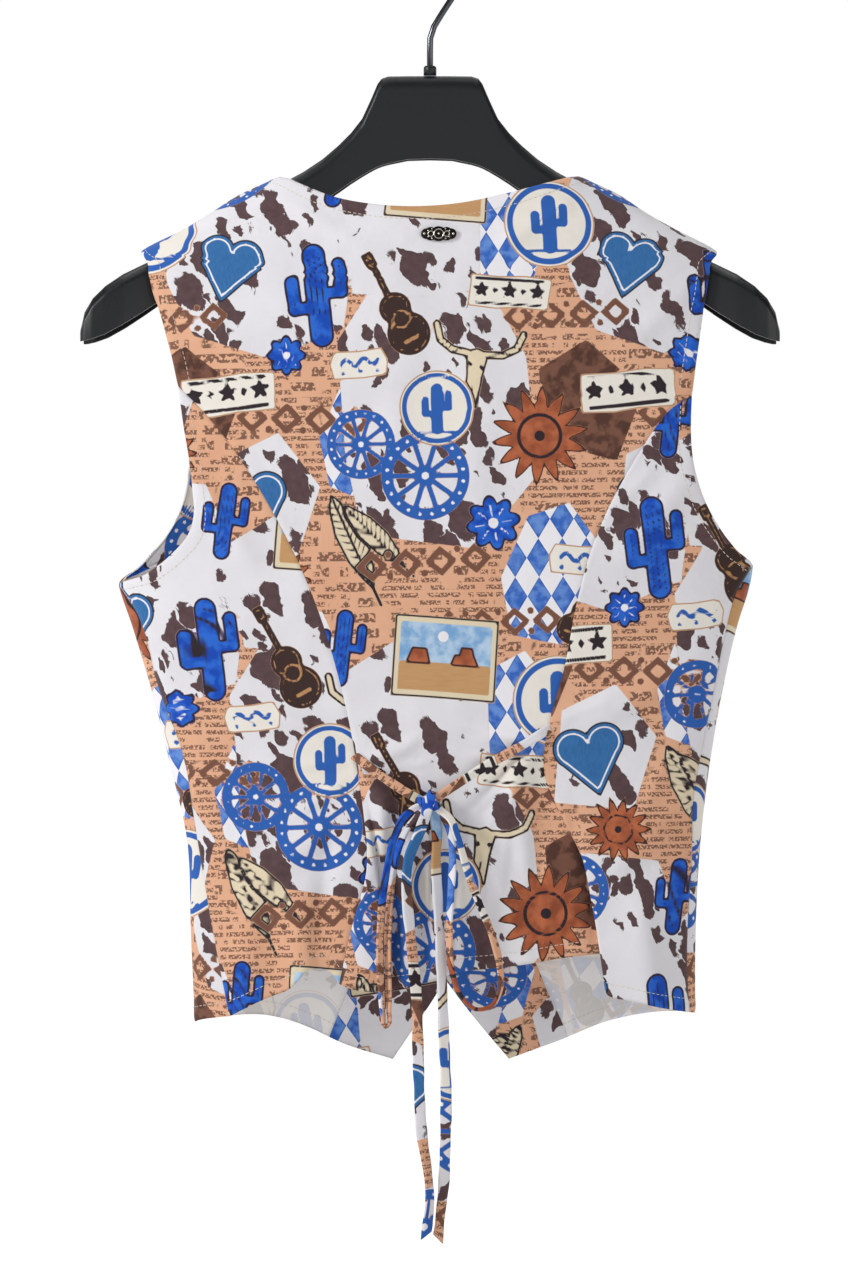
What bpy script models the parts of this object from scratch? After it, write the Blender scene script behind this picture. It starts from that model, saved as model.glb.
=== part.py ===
"""Western vest hanging on a plastic hanger, seen from its back.

The garment hangs with its back towards -Y and its buttoned front towards +Y.
The origin is the inner top of the hanger's hook. Tables are in millimetres.
"""
import math

import bmesh
import bpy
import numpy as np

MM = 0.001

# Cloth
WALL = 1.1
SEAM_GAP = 0.34
LAYER_STEP = 1.5
ARMHOLE_FACING_STEP = 1.85
ROUNDNESS = 0.7

# Body sections: height, left edge, right edge, depth to the back, depth to the front
SECTION_COLUMNS = ("height", "left", "right", "back", "front")
SECTIONS = (
    (-730, -148.0, 167.0, 37, 37),
    (-688, -148.5, 167.3, 37, 37),
    (-632, -150.8, 167.5, 36, 36),
    (-570, -153.7, 171.0, 33, 35),
    (-528, -163.2, 176.0, 31, 34),
    (-485, -173.8, 183.3, 34, 36),
    (-437, -188.1, 194.0, 38, 39),
    (-411, -196.6, 202.0, 40, 40),
    (-360, -196.0, 203.0, 40, 40),
    (-300, -192.0, 195.0, 39, 39),
    (-240, -186.0, 186.0, 38, 38),
    (-200, -180.0, 178.7, 36, 36),
    (-188, -156.1, 155.5, 34, 34),
    (-177, -137.9, 136.0, 32, 32),
    (-166, -120.5, 119.5, 30, 30),
    (-154, -94.2, 93.8, 28, 28),
    (-140, -66.0, 66.0, 26, 26),
)
NECK_HEIGHT = -154
SHOULDER_HEIGHT = -200

# Outlines of the back: across, height
BACK_NECK = (
    (-94.2, -154), (-81.1, -160.3), (-60.7, -168.7), (-34.8, -173.8), (0.0, -174.9), (19.6, -172.9),
    (45.0, -167.5), (71.2, -160.3), (84.1, -156.6), (93.8, -154),
)
ARMHOLE_UPPER_LEFT = ((-180.0, -200), (-175.3, -223.6), (-165.0, -257.2), (-158.0, -287.6))
ARMHOLE_UPPER_RIGHT = ((178.7, -200), (173.8, -227.8), (168.5, -262), (164.3, -293.2))
ARMHOLE_LOWER_LEFT = (
    (-158.0, -287.6), (-154.8, -311), (-151.0, -334), (-148.5, -357), (-149.0, -375), (-163.7, -394.4),
    (-186.0, -408.5), (-196.6, -412),
)
ARMHOLE_LOWER_RIGHT = (
    (164.3, -293.2), (163.6, -315), (165.0, -334.6), (169.5, -352), (177.5, -369.5), (189.0, -386),
    (203.4, -400),
)
SIDE_SEAM_LEFT = (
    (-196.6, -412), (-188.0, -424), (-170.6, -478.4), (-155.5, -520.0), (-147.5, -567), (-136.0, -633),
    (-126.0, -683),
)
SIDE_SEAM_RIGHT = (
    (203.4, -400), (193.0, -417), (186.5, -440), (179.0, -478), (171.5, -515), (166.5, -541),
    (165.0, -587), (162.4, -625), (162.0, -655), (163.5, -681.5),
)
PRINCESS_LEFT = (
    (-158.0, -287.6), (-143.5, -302.1), (-119.0, -333.0), (-99.2, -365.3), (-82.2, -398.6),
    (-65.7, -441.0), (-56.5, -473.4), (-46.8, -520.1), (-43.6, -545), (-44.6, -597.9), (-49.9, -625.7),
    (-56.9, -662),
)
PRINCESS_RIGHT = (
    (164.3, -293.2), (149.5, -303.4), (135.2, -323.3), (118.2, -351.4), (100.5, -391.1),
    (90.4, -430), (84.7, -461.4), (74.5, -500.0), (71.0, -525), (82.8, -558.2), (94.5, -580.0),
    (104.9, -622), (110.0, -656),
)
HEM_CENTRE = (
    (-56.9, -662), (-49.3, -665.5), (-32.4, -667.4), (-3.8, -662.3), (13.0, -656.5), (56.9, -651.0),
    (88.0, -646.0), (102.0, -645.0), (110.0, -656),
)
HEM_SIDE_LEFT = ((-56.9, -662), (-64.0, -653.5), (-74.0, -652.5), (-87.8, -665.0), (-105.2, -672.4), (-126.0, -683))
HEM_SIDE_RIGHT = ((110.0, -656), (116.5, -668.5), (128.0, -673.0), (143.5, -677.3), (163.5, -681.5))

# Outlines of the fronts: across, height
FRONT_ARMHOLE_LEFT = (
    (-180.0, -200), (-172.0, -222), (-163.0, -252), (-156.5, -285), (-153.5, -318), (-154.8, -344.4),
    (-159.9, -365), (-170.0, -383), (-185.8, -400), (-196.6, -412),
)
FRONT_ARMHOLE_RIGHT = (
    (178.7, -200), (170.0, -222), (162.0, -252), (157.0, -285), (156.5, -315), (160.5, -342),
    (168.0, -362), (179.0, -379), (190.0, -390), (203.4, -400),
)
V_NECK_LEFT = ((-94.2, -154), (-74.0, -195), (-50.0, -250), (-24.0, -308), (4.0, -362), (20.0, -392))
V_NECK_RIGHT = ((93.8, -154), (81.0, -195), (61.0, -250), (38.0, -308), (12.0, -362), (-5.0, -392))
FRONT_EDGE_LEFT = ((20.0, -392), (20.0, -520), (20.0, -600), (19.0, -644))
FRONT_EDGE_RIGHT = ((-5.0, -392), (-5.0, -520), (-5.0, -600), (-3.5, -644))
CUTAWAY_LEFT = ((19.0, -644), (5.7, -670.9), (-11.6, -697.0), (-23.8, -715.1))
CUTAWAY_RIGHT = ((-3.5, -644), (14.5, -671.0), (31.0, -692.0), (50.6, -715.0))
FRONT_HEM_LEFT = ((-23.8, -715.1), (-55.0, -705.3), (-80.9, -693.3), (-105.2, -686.5), (-148.5, -688.2))
FRONT_HEM_RIGHT = ((50.6, -715.0), (82.2, -703.3), (112.8, -691.0), (140.0, -684.5), (167.0, -682.5))
FRONT_CENTRE = 8.0
OVERLAP_START = 46.0
OVERLAP_RAMP = 26.0

# Pleats below the tie: height and place of the fold's edge
PLEAT_LEFT = ((-520, -40.0), (-560, -37.0), (-600, -32.5), (-640, -31.0), (-700, -31.0))
PLEAT_RIGHT = ((-500, 74.5), (-525, 71.0), (-558, 82.8), (-580, 94.5), (-622, 104.9), (-656, 110.0), (-700, 117.0))
PLEAT_TOP = -528
PLEAT_FULL = -610
PLEAT_STEP = 11.0
PLEAT_SOFTNESS = 3.2

# Folds: side of the body, start across and height, end across and height, width, rise away from the body
FOLD_COLUMNS = ("side", "x0", "z0", "x1", "z1", "width", "rise")
FOLDS = (
    ("back", -44, -522, -12, -516, 5.0, 1.6),
    ("back", -42, -532, -16, -570, 5.5, 2.0),
    ("back", -30, -540, -22, -610, 6.0, 2.4),
    ("back", 70, -506, 34, -508, 5.0, 1.6),
    ("back", 66, -516, 40, -560, 6.0, 2.2),
    ("back", 56, -530, 60, -610, 7.5, 2.6),
    ("back", 4, -566, 2, -668, 9.0, 3.0),
    ("back", 40, -572, 34, -660, 9.0, 2.6),
    ("back", -74, -500, -140, -478, 9.0, 1.8),
    ("back", 92, -500, 158, -470, 9.0, 1.8),
    ("back", -60, -560, -112, -600, 10.0, 2.2),
    ("back", 108, -600, 146, -560, 10.0, 2.0),
    ("back", -84, -600, -78, -690, 12.0, 4.0),
    ("back", -112, -610, -118, -690, 11.0, 2.6),
    ("back", 132, -605, 140, -690, 11.0, 3.0),
    ("back", -150, -345, -110, -400, 9.0, 1.6),
    ("back", 160, -345, 122, -396, 9.0, 1.6),
    ("back", -60, -190, 70, -196, 10.0, 1.5),
    ("front", -150, -350, -100, -410, 9.0, 1.8),
    ("front", 156, -350, 108, -410, 9.0, 1.8),
    ("front", -120, -500, -60, -470, 9.0, 1.8),
    ("front", 135, -500, 75, -470, 9.0, 1.8),
    ("front", -100, -590, -92, -690, 12.0, 3.4),
    ("front", 118, -590, 112, -690, 12.0, 3.4),
)

# Grid counts along each outline
SHOULDER_CELLS = 6
BACK_ACROSS_CELLS = 24
ARMHOLE_UPPER_CELLS = 6
ARMHOLE_LOWER_CELLS = 11
PRINCESS_CELLS = 24
FRONT_ARMHOLE_CELLS = 13
FRONT_ACROSS_CELLS = 14
V_NECK_CELLS = 13
FRONT_EDGE_CELLS = 18
CUTAWAY_CELLS = 6
FRONT_FACING_CELLS = 4
ARMHOLE_FACING_CELLS = 3
EDGE_CLUSTER = 1.0
SHOULDER_CLUSTER = 4.0
UPPER_CLUSTER = 0.8
UNDERARM_CLUSTER = 2.4
LEVEL_POWER = 1.8
DEGREE_LENGTH = 2.6

# Waist tie: flat strap sewn into the princess seams
TIE_WIDTH = 7.0
TIE_THICKNESS = 1.8
LOOP_WIDTH = 5.6
TIE_STEP = 9.0
KNOT_PLACE = (-1.0, -40.0, -549.0)
KNOT_HALF_SIZE = (7.6, 5.9, 6.8)
ROUTE_COLUMNS = ("x", "y", "z", "tilt")
STRAP_LEFT = ((-45.5, -33.6, -520.5, 12), (-36.7, -35.2, -527.5, 12), (-22.1, -37.4, -537.5, 20), (-7.9, -39.5, -545.9, 28))
STRAP_RIGHT = (
    (74.2, -33.8, -502.6, 12), (60.0, -35.2, -511.3, 12), (40.0, -36.8, -522.5, 12), (20.0, -38.6, -534.8, 22),
    (5.8, -39.6, -544.2, 30),
)
LOOP_LEFT = (
    (-8.6, -45.6, -550.6, 48), (-15.6, -46.0, -556.0, 45), (-22.5, -44.6, -570.0, 45), (-27.3, -43.6, -592.0, 45),
    (-30.5, -43.0, -617.5, 45), (-31.5, -43.0, -642.7, 50), (-30.0, -43.0, -668.0, 62), (-28.9, -43.0, -681.0, 80),
    (-26.7, -42.8, -689.5, 90), (-23.6, -42.4, -687.5, 90), (-22.6, -42.0, -678.0, 80), (-22.0, -41.6, -660.0, 62),
    (-22.8, -40.8, -635.0, 55), (-21.4, -40.0, -605.0, 50), (-18.6, -38.8, -580.0, 48), (-12.6, -37.6, -563.5, 45),
    (-7.6, -37.2, -556.6, 45),
)
LOOP_RIGHT = (
    (5.2, -44.2, -553.2, 48), (12.0, -45.0, -558.0, 48), (17.0, -44.6, -570.0, 48), (22.5, -43.8, -589.0, 48),
    (31.0, -43.2, -612.0, 50), (39.0, -43.0, -632.0, 55), (43.4, -43.0, -650.0, 62), (43.6, -43.0, -665.0, 75),
    (38.5, -43.0, -675.0, 84), (29.0, -43.0, -677.2, 90), (19.5, -43.0, -669.5, 84), (13.6, -42.8, -653.0, 70),
    (11.9, -42.2, -630.0, 58), (13.0, -41.0, -605.0, 52), (14.0, -38.8, -584.0, 48), (13.4, -37.0, -569.0, 45),
    (8.2, -36.2, -557.4, 45),
)
TAIL_LEFT = (
    (-2.6, -42.6, -555.7, 20), (-6.6, -43.4, -566.5, 24), (-14.2, -45.0, -584.0, 28), (-14.6, -45.4, -604.0, 34),
    (-12.6, -45.6, -626.9, 30), (-10.4, -45.4, -649.1, 22), (-8.2, -45.0, -674.3, 12), (-7.6, -45.0, -699.6, 8),
    (-6.6, -45.0, -731.2, 8), (-5.0, -45.0, -756.5, 16), (-1.6, -45.0, -777.5, 42), (-0.2, -45.0, -793.3, 48),
    (-2.4, -45.0, -818.0, 14),
)
TAIL_RIGHT = (
    (2.6, -38.4, -556.0, 20), (4.2, -38.4, -568.0, 30), (3.4, -38.4, -584.0, 35), (4.6, -38.4, -606.0, 35),
    (6.0, -38.6, -632.0, 35), (7.4, -39.0, -660.0, 30), (8.4, -39.4, -690.0, 22), (10.0, -39.6, -731.2, 8),
    (9.4, -39.6, -764.0, 8), (8.4, -39.6, -788.1, 22), (6.4, -39.6, -806.0, 34), (5.0, -39.6, -821.0, 22),
)

# Buttons and neck ornament
BUTTON_RADIUS = 7.5
BUTTON_THICKNESS = 2.6
BUTTON_HEIGHTS = (-408, -468, -528, -588)
BUTTON_STAND = 0.8
ORNAMENT_STAND = 0.85
ORNAMENT_PLACE = (5.4, -193.0)
ORNAMENT_LENGTH = 22.0
ORNAMENT_HEIGHT = 9.4
ORNAMENT_THICKNESS = 1.4

# Hanger stations: across, top, underside, half width, depth of the channel under it
HANGER_COLUMNS = ("x", "top", "underside", "half_width", "channel")
HANGER_HALF = (
    (0.0, -90.0, -142.8, 6.5, 1.0),
    (14.0, -90.0, -143.2, 6.5, 1.0),
    (26.5, -90.2, -145.8, 6.5, 1.0),
    (30.6, -91.6, -147.0, 6.5, 1.0),
    (33.2, -95.0, -148.0, 6.6, 1.0),
    (37.5, -105.0, -150.2, 6.8, 1.2),
    (43.0, -117.0, -153.4, 7.2, 2.0),
    (50.0, -126.0, -157.8, 7.8, 5.0),
    (58.0, -134.0, -163.4, 8.5, 12.0),
    (68.0, -142.6, -170.0, 9.4, 19.0),
    (80.0, -150.6, -177.5, 10.4, 22.5),
    (96.0, -159.3, -187.4, 11.2, 24.0),
    (112.0, -167.0, -197.2, 12.0, 25.6),
    (128.0, -176.2, -207.0, 12.8, 26.2),
    (144.0, -186.2, -216.8, 13.6, 26.2),
    (160.0, -196.2, -226.6, 13.8, 26.2),
    (172.0, -204.8, -234.2, 14.0, 26.2),
    (182.0, -209.6, -241.0, 16.0, 27.0),
    (194.0, -215.4, -248.6, 18.6, 28.0),
    (205.0, -222.8, -254.6, 19.8, 27.0),
    (213.0, -230.6, -257.4, 19.8, 22.0),
    (218.0, -239.0, -258.6, 18.6, 15.0),
    (220.2, -249.0, -258.8, 16.4, 6.0),
)
HANGER_WALL = 2.6
HANGER_ARC_CELLS = 6
HANGER_ARC_HEIGHT = 9.0

# Hook and collar
HOOK_WIRE = 2.0
HOOK_RADIUS = 24.0
HOOK_STEM = ((0.0, -83.2), (0.0, -74.0), (0.2, -66.0), (2.6, -58.6), (7.2, -51.0), (12.8, -42.4), (18.6, -33.6))
HOOK_ARC_FROM = -8.0
HOOK_ARC_TO = 198.0
HOOK_ARC_STEP = 13.0
COLLAR_RADIUS = 4.1
COLLAR_TOP = -83.6
COLLAR_BOTTOM = -89.65

# Materials: colour, roughness, metallic
CLOTH_COLOUR = (0.70, 0.55, 0.47, 1.0)
CLOTH_INSIDE_COLOUR = (0.78, 0.76, 0.78, 1.0)
TIE_COLOUR = (0.42, 0.50, 0.72, 1.0)
PLASTIC_COLOUR = (0.012, 0.013, 0.015, 1.0)
CHROME_COLOUR = (0.06, 0.06, 0.065, 1.0)
ORNAMENT_COLOUR = (0.16, 0.15, 0.14, 1.0)
BUTTON_COLOUR = (0.10, 0.06, 0.04, 1.0)


def clear_scene():
    for obj in list(bpy.data.objects):
        bpy.data.objects.remove(obj, do_unlink=True)


def make_material(name, colour, roughness, metallic):
    material = bpy.data.materials.new(name)
    material.use_nodes = True
    shader = material.node_tree.nodes["Principled BSDF"]
    shader.inputs["Base Color"].default_value = colour
    shader.inputs["Roughness"].default_value = roughness
    shader.inputs["Metallic"].default_value = metallic
    return material


def smooth_curve(keys, values, query):
    """Read a smooth curve through the rows of a table at the queried keys."""
    keys = np.asarray(keys, float)
    values = np.asarray(values, float)
    slopes = np.gradient(values, keys)
    query = np.clip(query, keys[0], keys[-1])
    row = np.clip(np.searchsorted(keys, query, side="right") - 1, 0, len(keys) - 2)
    span = keys[row + 1] - keys[row]
    t = (query - keys[row]) / span
    start = (1 + 2 * t) * (1 - t) ** 2 * values[row] + t * (1 - t) ** 2 * span * slopes[row]
    end = t * t * (3 - 2 * t) * values[row + 1] + t * t * (t - 1) * span * slopes[row + 1]
    return start + end


def section_at(height):
    table = np.array(SECTIONS, float)
    keys = table[:, 0]
    return [smooth_curve(keys, table[:, column], height) for column in range(1, 5)]


def ramp(value, start, end):
    t = np.clip((value - start) / (end - start), 0.0, 1.0)
    return t * t * (3 - 2 * t)


def line_at(line, height):
    rows = np.array(sorted(line), float)
    return smooth_curve(rows[:, 0], rows[:, 1], height)


def fold_rise(x, z, side):
    """Sum the soft folds of one side of the body."""
    rise = np.zeros_like(x)
    for name, x0, z0, x1, z1, width, height in FOLDS:
        if name != side:
            continue
        length = math.hypot(x1 - x0, z1 - z0)
        along = ((x - x0) * (x1 - x0) + (z - z0) * (z1 - z0)) / length ** 2
        across = ((x - x0) * (z1 - z0) - (z - z0) * (x1 - x0)) / length
        end = ramp(along, -0.25, 0.3) * (1 - ramp(along, 0.75, 1.3))
        rise += height * end * np.exp(-(across / width) ** 2)
    return rise


def body_surface(angle, z):
    """Place cloth points: angle 0 is the centre back, -90 the left edge, 180 the centre front."""
    angle = np.asarray(angle, float)
    z = np.asarray(z, float)
    left, right, back, front = section_at(z)
    turn = np.radians(angle)
    sine = np.sin(turn)
    cosine = np.cos(turn)
    x = (left + right) / 2 + (right - left) / 2 * sine
    facing_back = cosine > 0
    depth = np.where(facing_back, back, front)
    bulge = np.abs(cosine) ** ROUNDNESS
    y = np.where(facing_back, -1.0, 1.0) * depth * bulge
    edge = ramp(np.abs(cosine), 0.05, 0.45)
    y = y - edge * fold_rise(x, z, "back") * facing_back
    y = y + edge * fold_rise(x, z, "front") * ~facing_back
    strength = ramp(-z, -PLEAT_TOP, -PLEAT_FULL) * facing_back
    left_gap = (x - line_at(PLEAT_LEFT, z)) / PLEAT_SOFTNESS
    right_gap = (line_at(PLEAT_RIGHT, z) - x) / PLEAT_SOFTNESS
    inside = 0.25 * (1 + np.tanh(left_gap)) * (1 + np.tanh(right_gap))
    y = y + strength * PLEAT_STEP * inside
    pull_left = 1.1 * PLEAT_SOFTNESS * left_gap * np.exp(-(left_gap / 2.4) ** 2 / 2)
    pull_right = 1.5 * PLEAT_SOFTNESS * right_gap * np.exp(-(right_gap / 2.4) ** 2 / 2)
    x = x + strength * (pull_right - pull_left)
    return np.stack([x, y, z], axis=-1)


def surface_normal(angle, z):
    turn = 0.35
    drop = 0.6
    across = body_surface(angle + turn, z) - body_surface(angle - turn, z)
    down = body_surface(angle, z - drop) - body_surface(angle, z + drop)
    normal = np.cross(down, across)
    return normal / np.linalg.norm(normal, axis=-1, keepdims=True)


def angle_of(x, z, side):
    left, right, back, front = section_at(z)
    ratio = (x - (left + right) / 2) / ((right - left) / 2)
    angle = np.degrees(np.arcsin(np.clip(ratio, -1, 1)))
    if side == "back":
        return angle
    return np.where(np.asarray(x) < FRONT_CENTRE, -180 - angle, 180 - angle)


def spread(count, start_cluster=0.0, end_cluster=0.0):
    """Give fractions from 0 to 1, closer together near the clustered ends."""
    t = np.linspace(0, 1, count + 1)
    density = 1 + 2.4 * start_cluster * (1 - t) ** 3 + 2.4 * end_cluster * t ** 3
    steps = 2 / (density[1:] + density[:-1])
    return np.concatenate([[0], np.cumsum(steps)]) / steps.sum()


def sample_outline(points, fractions):
    """Read a smooth outline through its points at fractions of its length."""
    points = np.array(points, float)
    steps = np.linalg.norm(np.diff(points, axis=0), axis=1)
    length = np.concatenate([[0], np.cumsum(steps)])
    query = np.asarray(fractions) * length[-1]
    return np.stack([smooth_curve(length, points[:, i], query) for i in range(2)], axis=-1)


def outline(points, fractions, side):
    """Turn an outline across and up the body into angles and heights."""
    spots = sample_outline(points, fractions)
    angles = angle_of(spots[:, 0], spots[:, 1], side)
    return np.stack([angles, spots[:, 1]], axis=-1)


def front_outline(points, fractions, left_side):
    """Turn a front outline into angles and heights that run on round the side."""
    spots = outline(points, fractions, "front")
    if left_side:
        spots[:, 0] = np.where(spots[:, 0] > 0, spots[:, 0] - 360, spots[:, 0])
    else:
        spots[:, 0] = np.where(spots[:, 0] < 0, spots[:, 0] + 360, spots[:, 0])
    return spots


def join(*pieces):
    return np.concatenate([pieces[0]] + [piece[1:] for piece in pieces[1:]])


def run_fractions(curve):
    scaled = curve * (DEGREE_LENGTH, 1.0)
    steps = np.linalg.norm(np.diff(scaled, axis=0), axis=1)
    return np.concatenate([[0], np.cumsum(steps)]) / steps.sum()


def corner_line(start, end, fractions):
    return start + (end - start) * fractions[:, None]


def fill_panel(top, bottom, left, right):
    """Blend four outlines into a grid of angles and heights, rows from top to bottom."""
    top_run, bottom_run, left_run, right_run = [run_fractions(curve) for curve in (top, bottom, left, right)]
    down = (np.arange(len(left)) / (len(left) - 1))[:, None]
    over = (np.arange(len(top)) / (len(top) - 1))[None, :]
    s = (1 - down) * top_run[None] + down * bottom_run[None]
    t = ((1 - over) * left_run[:, None] + over * right_run[:, None])
    s = s[..., None]
    t = t[..., None]
    grid = (1 - t) * ((1 - s) * top[0] + s * top[-1]) + t * ((1 - s) * bottom[0] + s * bottom[-1])
    grid = grid + (1 - t) * (top - corner_line(top[0], top[-1], top_run))[None]
    grid = grid + t * (bottom - corner_line(bottom[0], bottom[-1], bottom_run))[None]
    grid = grid + (1 - s) * (left - corner_line(left[0], left[-1], left_run))[:, None]
    grid = grid + s * (right - corner_line(right[0], right[-1], right_run))[:, None]
    return grid


def panel_points(grid, lift):
    """Place a grid on the body, moved out along the surface by the lift at each point."""
    points = body_surface(grid[..., 0], grid[..., 1])
    normals = surface_normal(grid[..., 0], grid[..., 1])
    return points + normals * np.asarray(lift)[..., None], normals


def draw_in_edges(points, amount):
    """Move the outer points of a grid inwards, so that neighbours keep their seam gap."""
    drawn = points.copy()
    for edge, inner in ((0, 1), (-1, -2)):
        step = points[inner] - points[edge]
        drawn[edge] += step / np.linalg.norm(step, axis=-1, keepdims=True) * amount
        step = points[:, inner] - points[:, edge]
        drawn[:, edge] += step / np.linalg.norm(step, axis=-1, keepdims=True) * amount
    return drawn


def build_object(name, vertices, faces, material, smooth=True):
    mesh = bpy.data.meshes.new(name)
    mesh.from_pydata([tuple(point) for point in vertices], [], faces)
    obj = bpy.data.objects.new(name, mesh)
    bpy.context.scene.collection.objects.link(obj)
    mesh.materials.append(material)
    work = bmesh.new()
    work.from_mesh(mesh)
    bmesh.ops.recalc_face_normals(work, faces=work.faces)
    work.to_mesh(mesh)
    work.free()
    for polygon in mesh.polygons:
        polygon.use_smooth = smooth
    return obj


def wall(name, points, normals, material):
    """Build a closed cloth wall on a grid of middle points."""
    rows, columns = points.shape[:2]
    outer = points + normals * WALL / 2
    inner = points - normals * WALL / 2
    vertices = np.concatenate([outer.reshape(-1, 3), inner.reshape(-1, 3)]) * MM
    shift = rows * columns
    faces = []
    for row in range(rows - 1):
        for column in range(columns - 1):
            a = row * columns + column
            c = a + columns + 1
            for triangle in ((a, a + 1, c), (a, c, a + columns)):
                faces.append(triangle)
                faces.append(tuple(index + shift for index in reversed(triangle)))
    rim = [column for column in range(columns)]
    rim += [row * columns + columns - 1 for row in range(1, rows)]
    rim += [(rows - 1) * columns + column for column in range(columns - 2, -1, -1)]
    rim += [row * columns for row in range(rows - 2, 0, -1)]
    for start, end in zip(rim, rim[1:] + rim[:1]):
        faces.append((end, start, start + shift, end + shift))
    return build_object(name, vertices, faces, material)


def add_panel(name, grid, material, lift=0.0):
    lifts = np.zeros(grid.shape[:2]) + lift
    points, normals = panel_points(grid, lifts)
    points = draw_in_edges(points, SEAM_GAP / 2)
    return wall(name, points, normals, material)


def shoulder_line(side, count):
    """Run along the shoulder seam from the arm to the neck."""
    heights = np.linspace(SHOULDER_HEIGHT, NECK_HEIGHT, count + 1)
    return np.stack([np.full(count + 1, 90.0 * side), heights], axis=-1)


def side_seam(princess_table, seam_table):
    """Side seam points that soon come level with the princess seam's points."""
    princess = outline(princess_table, spread(PRINCESS_CELLS), "back")
    run = np.linspace(0, 1, PRINCESS_CELLS + 1)
    start_gap = seam_table[0][1] - princess[0, 1]
    end_gap = seam_table[-1][1] - princess[-1, 1]
    heights = princess[:, 1] + start_gap * (1 - run) ** LEVEL_POWER + end_gap * run ** LEVEL_POWER
    across = line_at([(z, x) for x, z in seam_table], heights)
    return np.stack([angle_of(across, heights, "back"), heights], axis=-1)


def back_panels(cloth):
    princess = spread(PRINCESS_CELLS)
    across = spread(BACK_ACROSS_CELLS, EDGE_CLUSTER, EDGE_CLUSTER)
    top = outline(BACK_NECK, across, "back")
    bottom = outline(HEM_CENTRE, across, "back")
    upper = spread(ARMHOLE_UPPER_CELLS, UPPER_CLUSTER)
    seam_left = outline(PRINCESS_LEFT, princess, "back")
    seam_right = outline(PRINCESS_RIGHT, princess, "back")
    shoulder_left = shoulder_line(-1, SHOULDER_CELLS)[::-1]
    shoulder_right = shoulder_line(1, SHOULDER_CELLS)[::-1]
    left = join(shoulder_left, outline(ARMHOLE_UPPER_LEFT, upper, "back"), seam_left)
    right = join(shoulder_right, outline(ARMHOLE_UPPER_RIGHT, upper, "back"), seam_right)
    add_panel("back_centre", fill_panel(top, bottom, left, right), cloth)

    lower = spread(ARMHOLE_LOWER_CELLS)
    across = spread(ARMHOLE_LOWER_CELLS, EDGE_CLUSTER, 0)
    armhole = outline(ARMHOLE_LOWER_LEFT, lower, "back")
    side = side_seam(PRINCESS_LEFT, SIDE_SEAM_LEFT)
    hem_left = outline(HEM_SIDE_LEFT, across, "back")
    grid = fill_panel(armhole, hem_left, seam_left, side)
    add_panel("back_side_left", grid[:, ::-1], cloth)

    armhole = outline(ARMHOLE_LOWER_RIGHT, lower, "back")
    side = side_seam(PRINCESS_RIGHT, SIDE_SEAM_RIGHT)
    hem_right = outline(HEM_SIDE_RIGHT, across, "back")
    add_panel("back_side_right", fill_panel(armhole, hem_right, seam_right, side), cloth)


def front_grid(left_side):
    """Grid of one front, from the armhole side to the centre front."""
    if left_side:
        seam = side_seam(PRINCESS_LEFT, SIDE_SEAM_LEFT)
        armhole, v_neck, edge = FRONT_ARMHOLE_LEFT, V_NECK_LEFT, FRONT_EDGE_LEFT
        cutaway, hem = CUTAWAY_LEFT, FRONT_HEM_LEFT
    else:
        seam = side_seam(PRINCESS_RIGHT, SIDE_SEAM_RIGHT)
        armhole, v_neck, edge = FRONT_ARMHOLE_RIGHT, V_NECK_RIGHT, FRONT_EDGE_RIGHT
        cutaway, hem = CUTAWAY_RIGHT, FRONT_HEM_RIGHT
    side = -1 if left_side else 1
    top = shoulder_line(side, FRONT_ACROSS_CELLS)
    outer = join(
        front_outline(armhole, spread(FRONT_ARMHOLE_CELLS, SHOULDER_CLUSTER, UNDERARM_CLUSTER), left_side),
        seam,
    )
    inner = join(
        front_outline(v_neck, spread(V_NECK_CELLS, SHOULDER_CLUSTER, UNDERARM_CLUSTER / 3), left_side),
        front_outline(edge, spread(FRONT_EDGE_CELLS), left_side),
        front_outline(cutaway, spread(CUTAWAY_CELLS), left_side),
    )
    outer[0] = top[0]
    inner[0] = top[-1]
    wrap_cells = 2
    flat_cells = FRONT_ACROSS_CELLS - wrap_cells
    flat = front_outline(hem, spread(flat_cells), left_side)[::-1]
    flat[0, 0] = 90.0 * side
    corner = outer[-1]
    wrap = np.linspace(corner, flat[0], wrap_cells + 1)
    bottom = join(wrap, flat)
    return fill_panel(top, bottom, outer, inner)


def overlap_lift(grid, left_side):
    """Layers of the closed front: the right front and its facing lie over the left front."""
    x = body_surface(grid[..., 0], grid[..., 1])[..., 0]
    at_front = np.abs(grid[..., 0]) > 120
    distance = np.where(left_side, FRONT_CENTRE - x, x - FRONT_CENTRE)
    reach = 1 - ramp(distance, OVERLAP_START - OVERLAP_RAMP, OVERLAP_START)
    lift = -0.5 * LAYER_STEP if left_side else 1.5 * LAYER_STEP
    return lift * reach * at_front


def front_panels(cloth):
    for left_side, word in ((True, "left"), (False, "right")):
        grid = front_grid(left_side)
        lift = overlap_lift(grid, left_side)
        add_panel("front_" + word, grid, cloth, lift)
        part = slice(FRONT_ACROSS_CELLS - FRONT_FACING_CELLS, None)
        add_panel("front_facing_" + word, grid[:, part], cloth, lift[:, part] - LAYER_STEP)
        rows = slice(0, FRONT_ARMHOLE_CELLS)
        part = slice(0, ARMHOLE_FACING_CELLS + 1)
        add_panel("armhole_facing_" + word, grid[rows, part], cloth, lift[rows, part] - ARMHOLE_FACING_STEP)


def resample_route(route, step):
    """Even points along a smooth curve through the route, with the tilt of the strap."""
    rows = np.array(route, float)
    steps = np.linalg.norm(np.diff(rows[:, :3], axis=0), axis=1)
    length = np.concatenate([[0], np.cumsum(steps)])
    count = max(4, int(round(length[-1] / step)))
    query = np.linspace(0, length[-1], count + 1)
    return np.stack([smooth_curve(length, rows[:, i], query) for i in range(4)], axis=-1)


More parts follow.
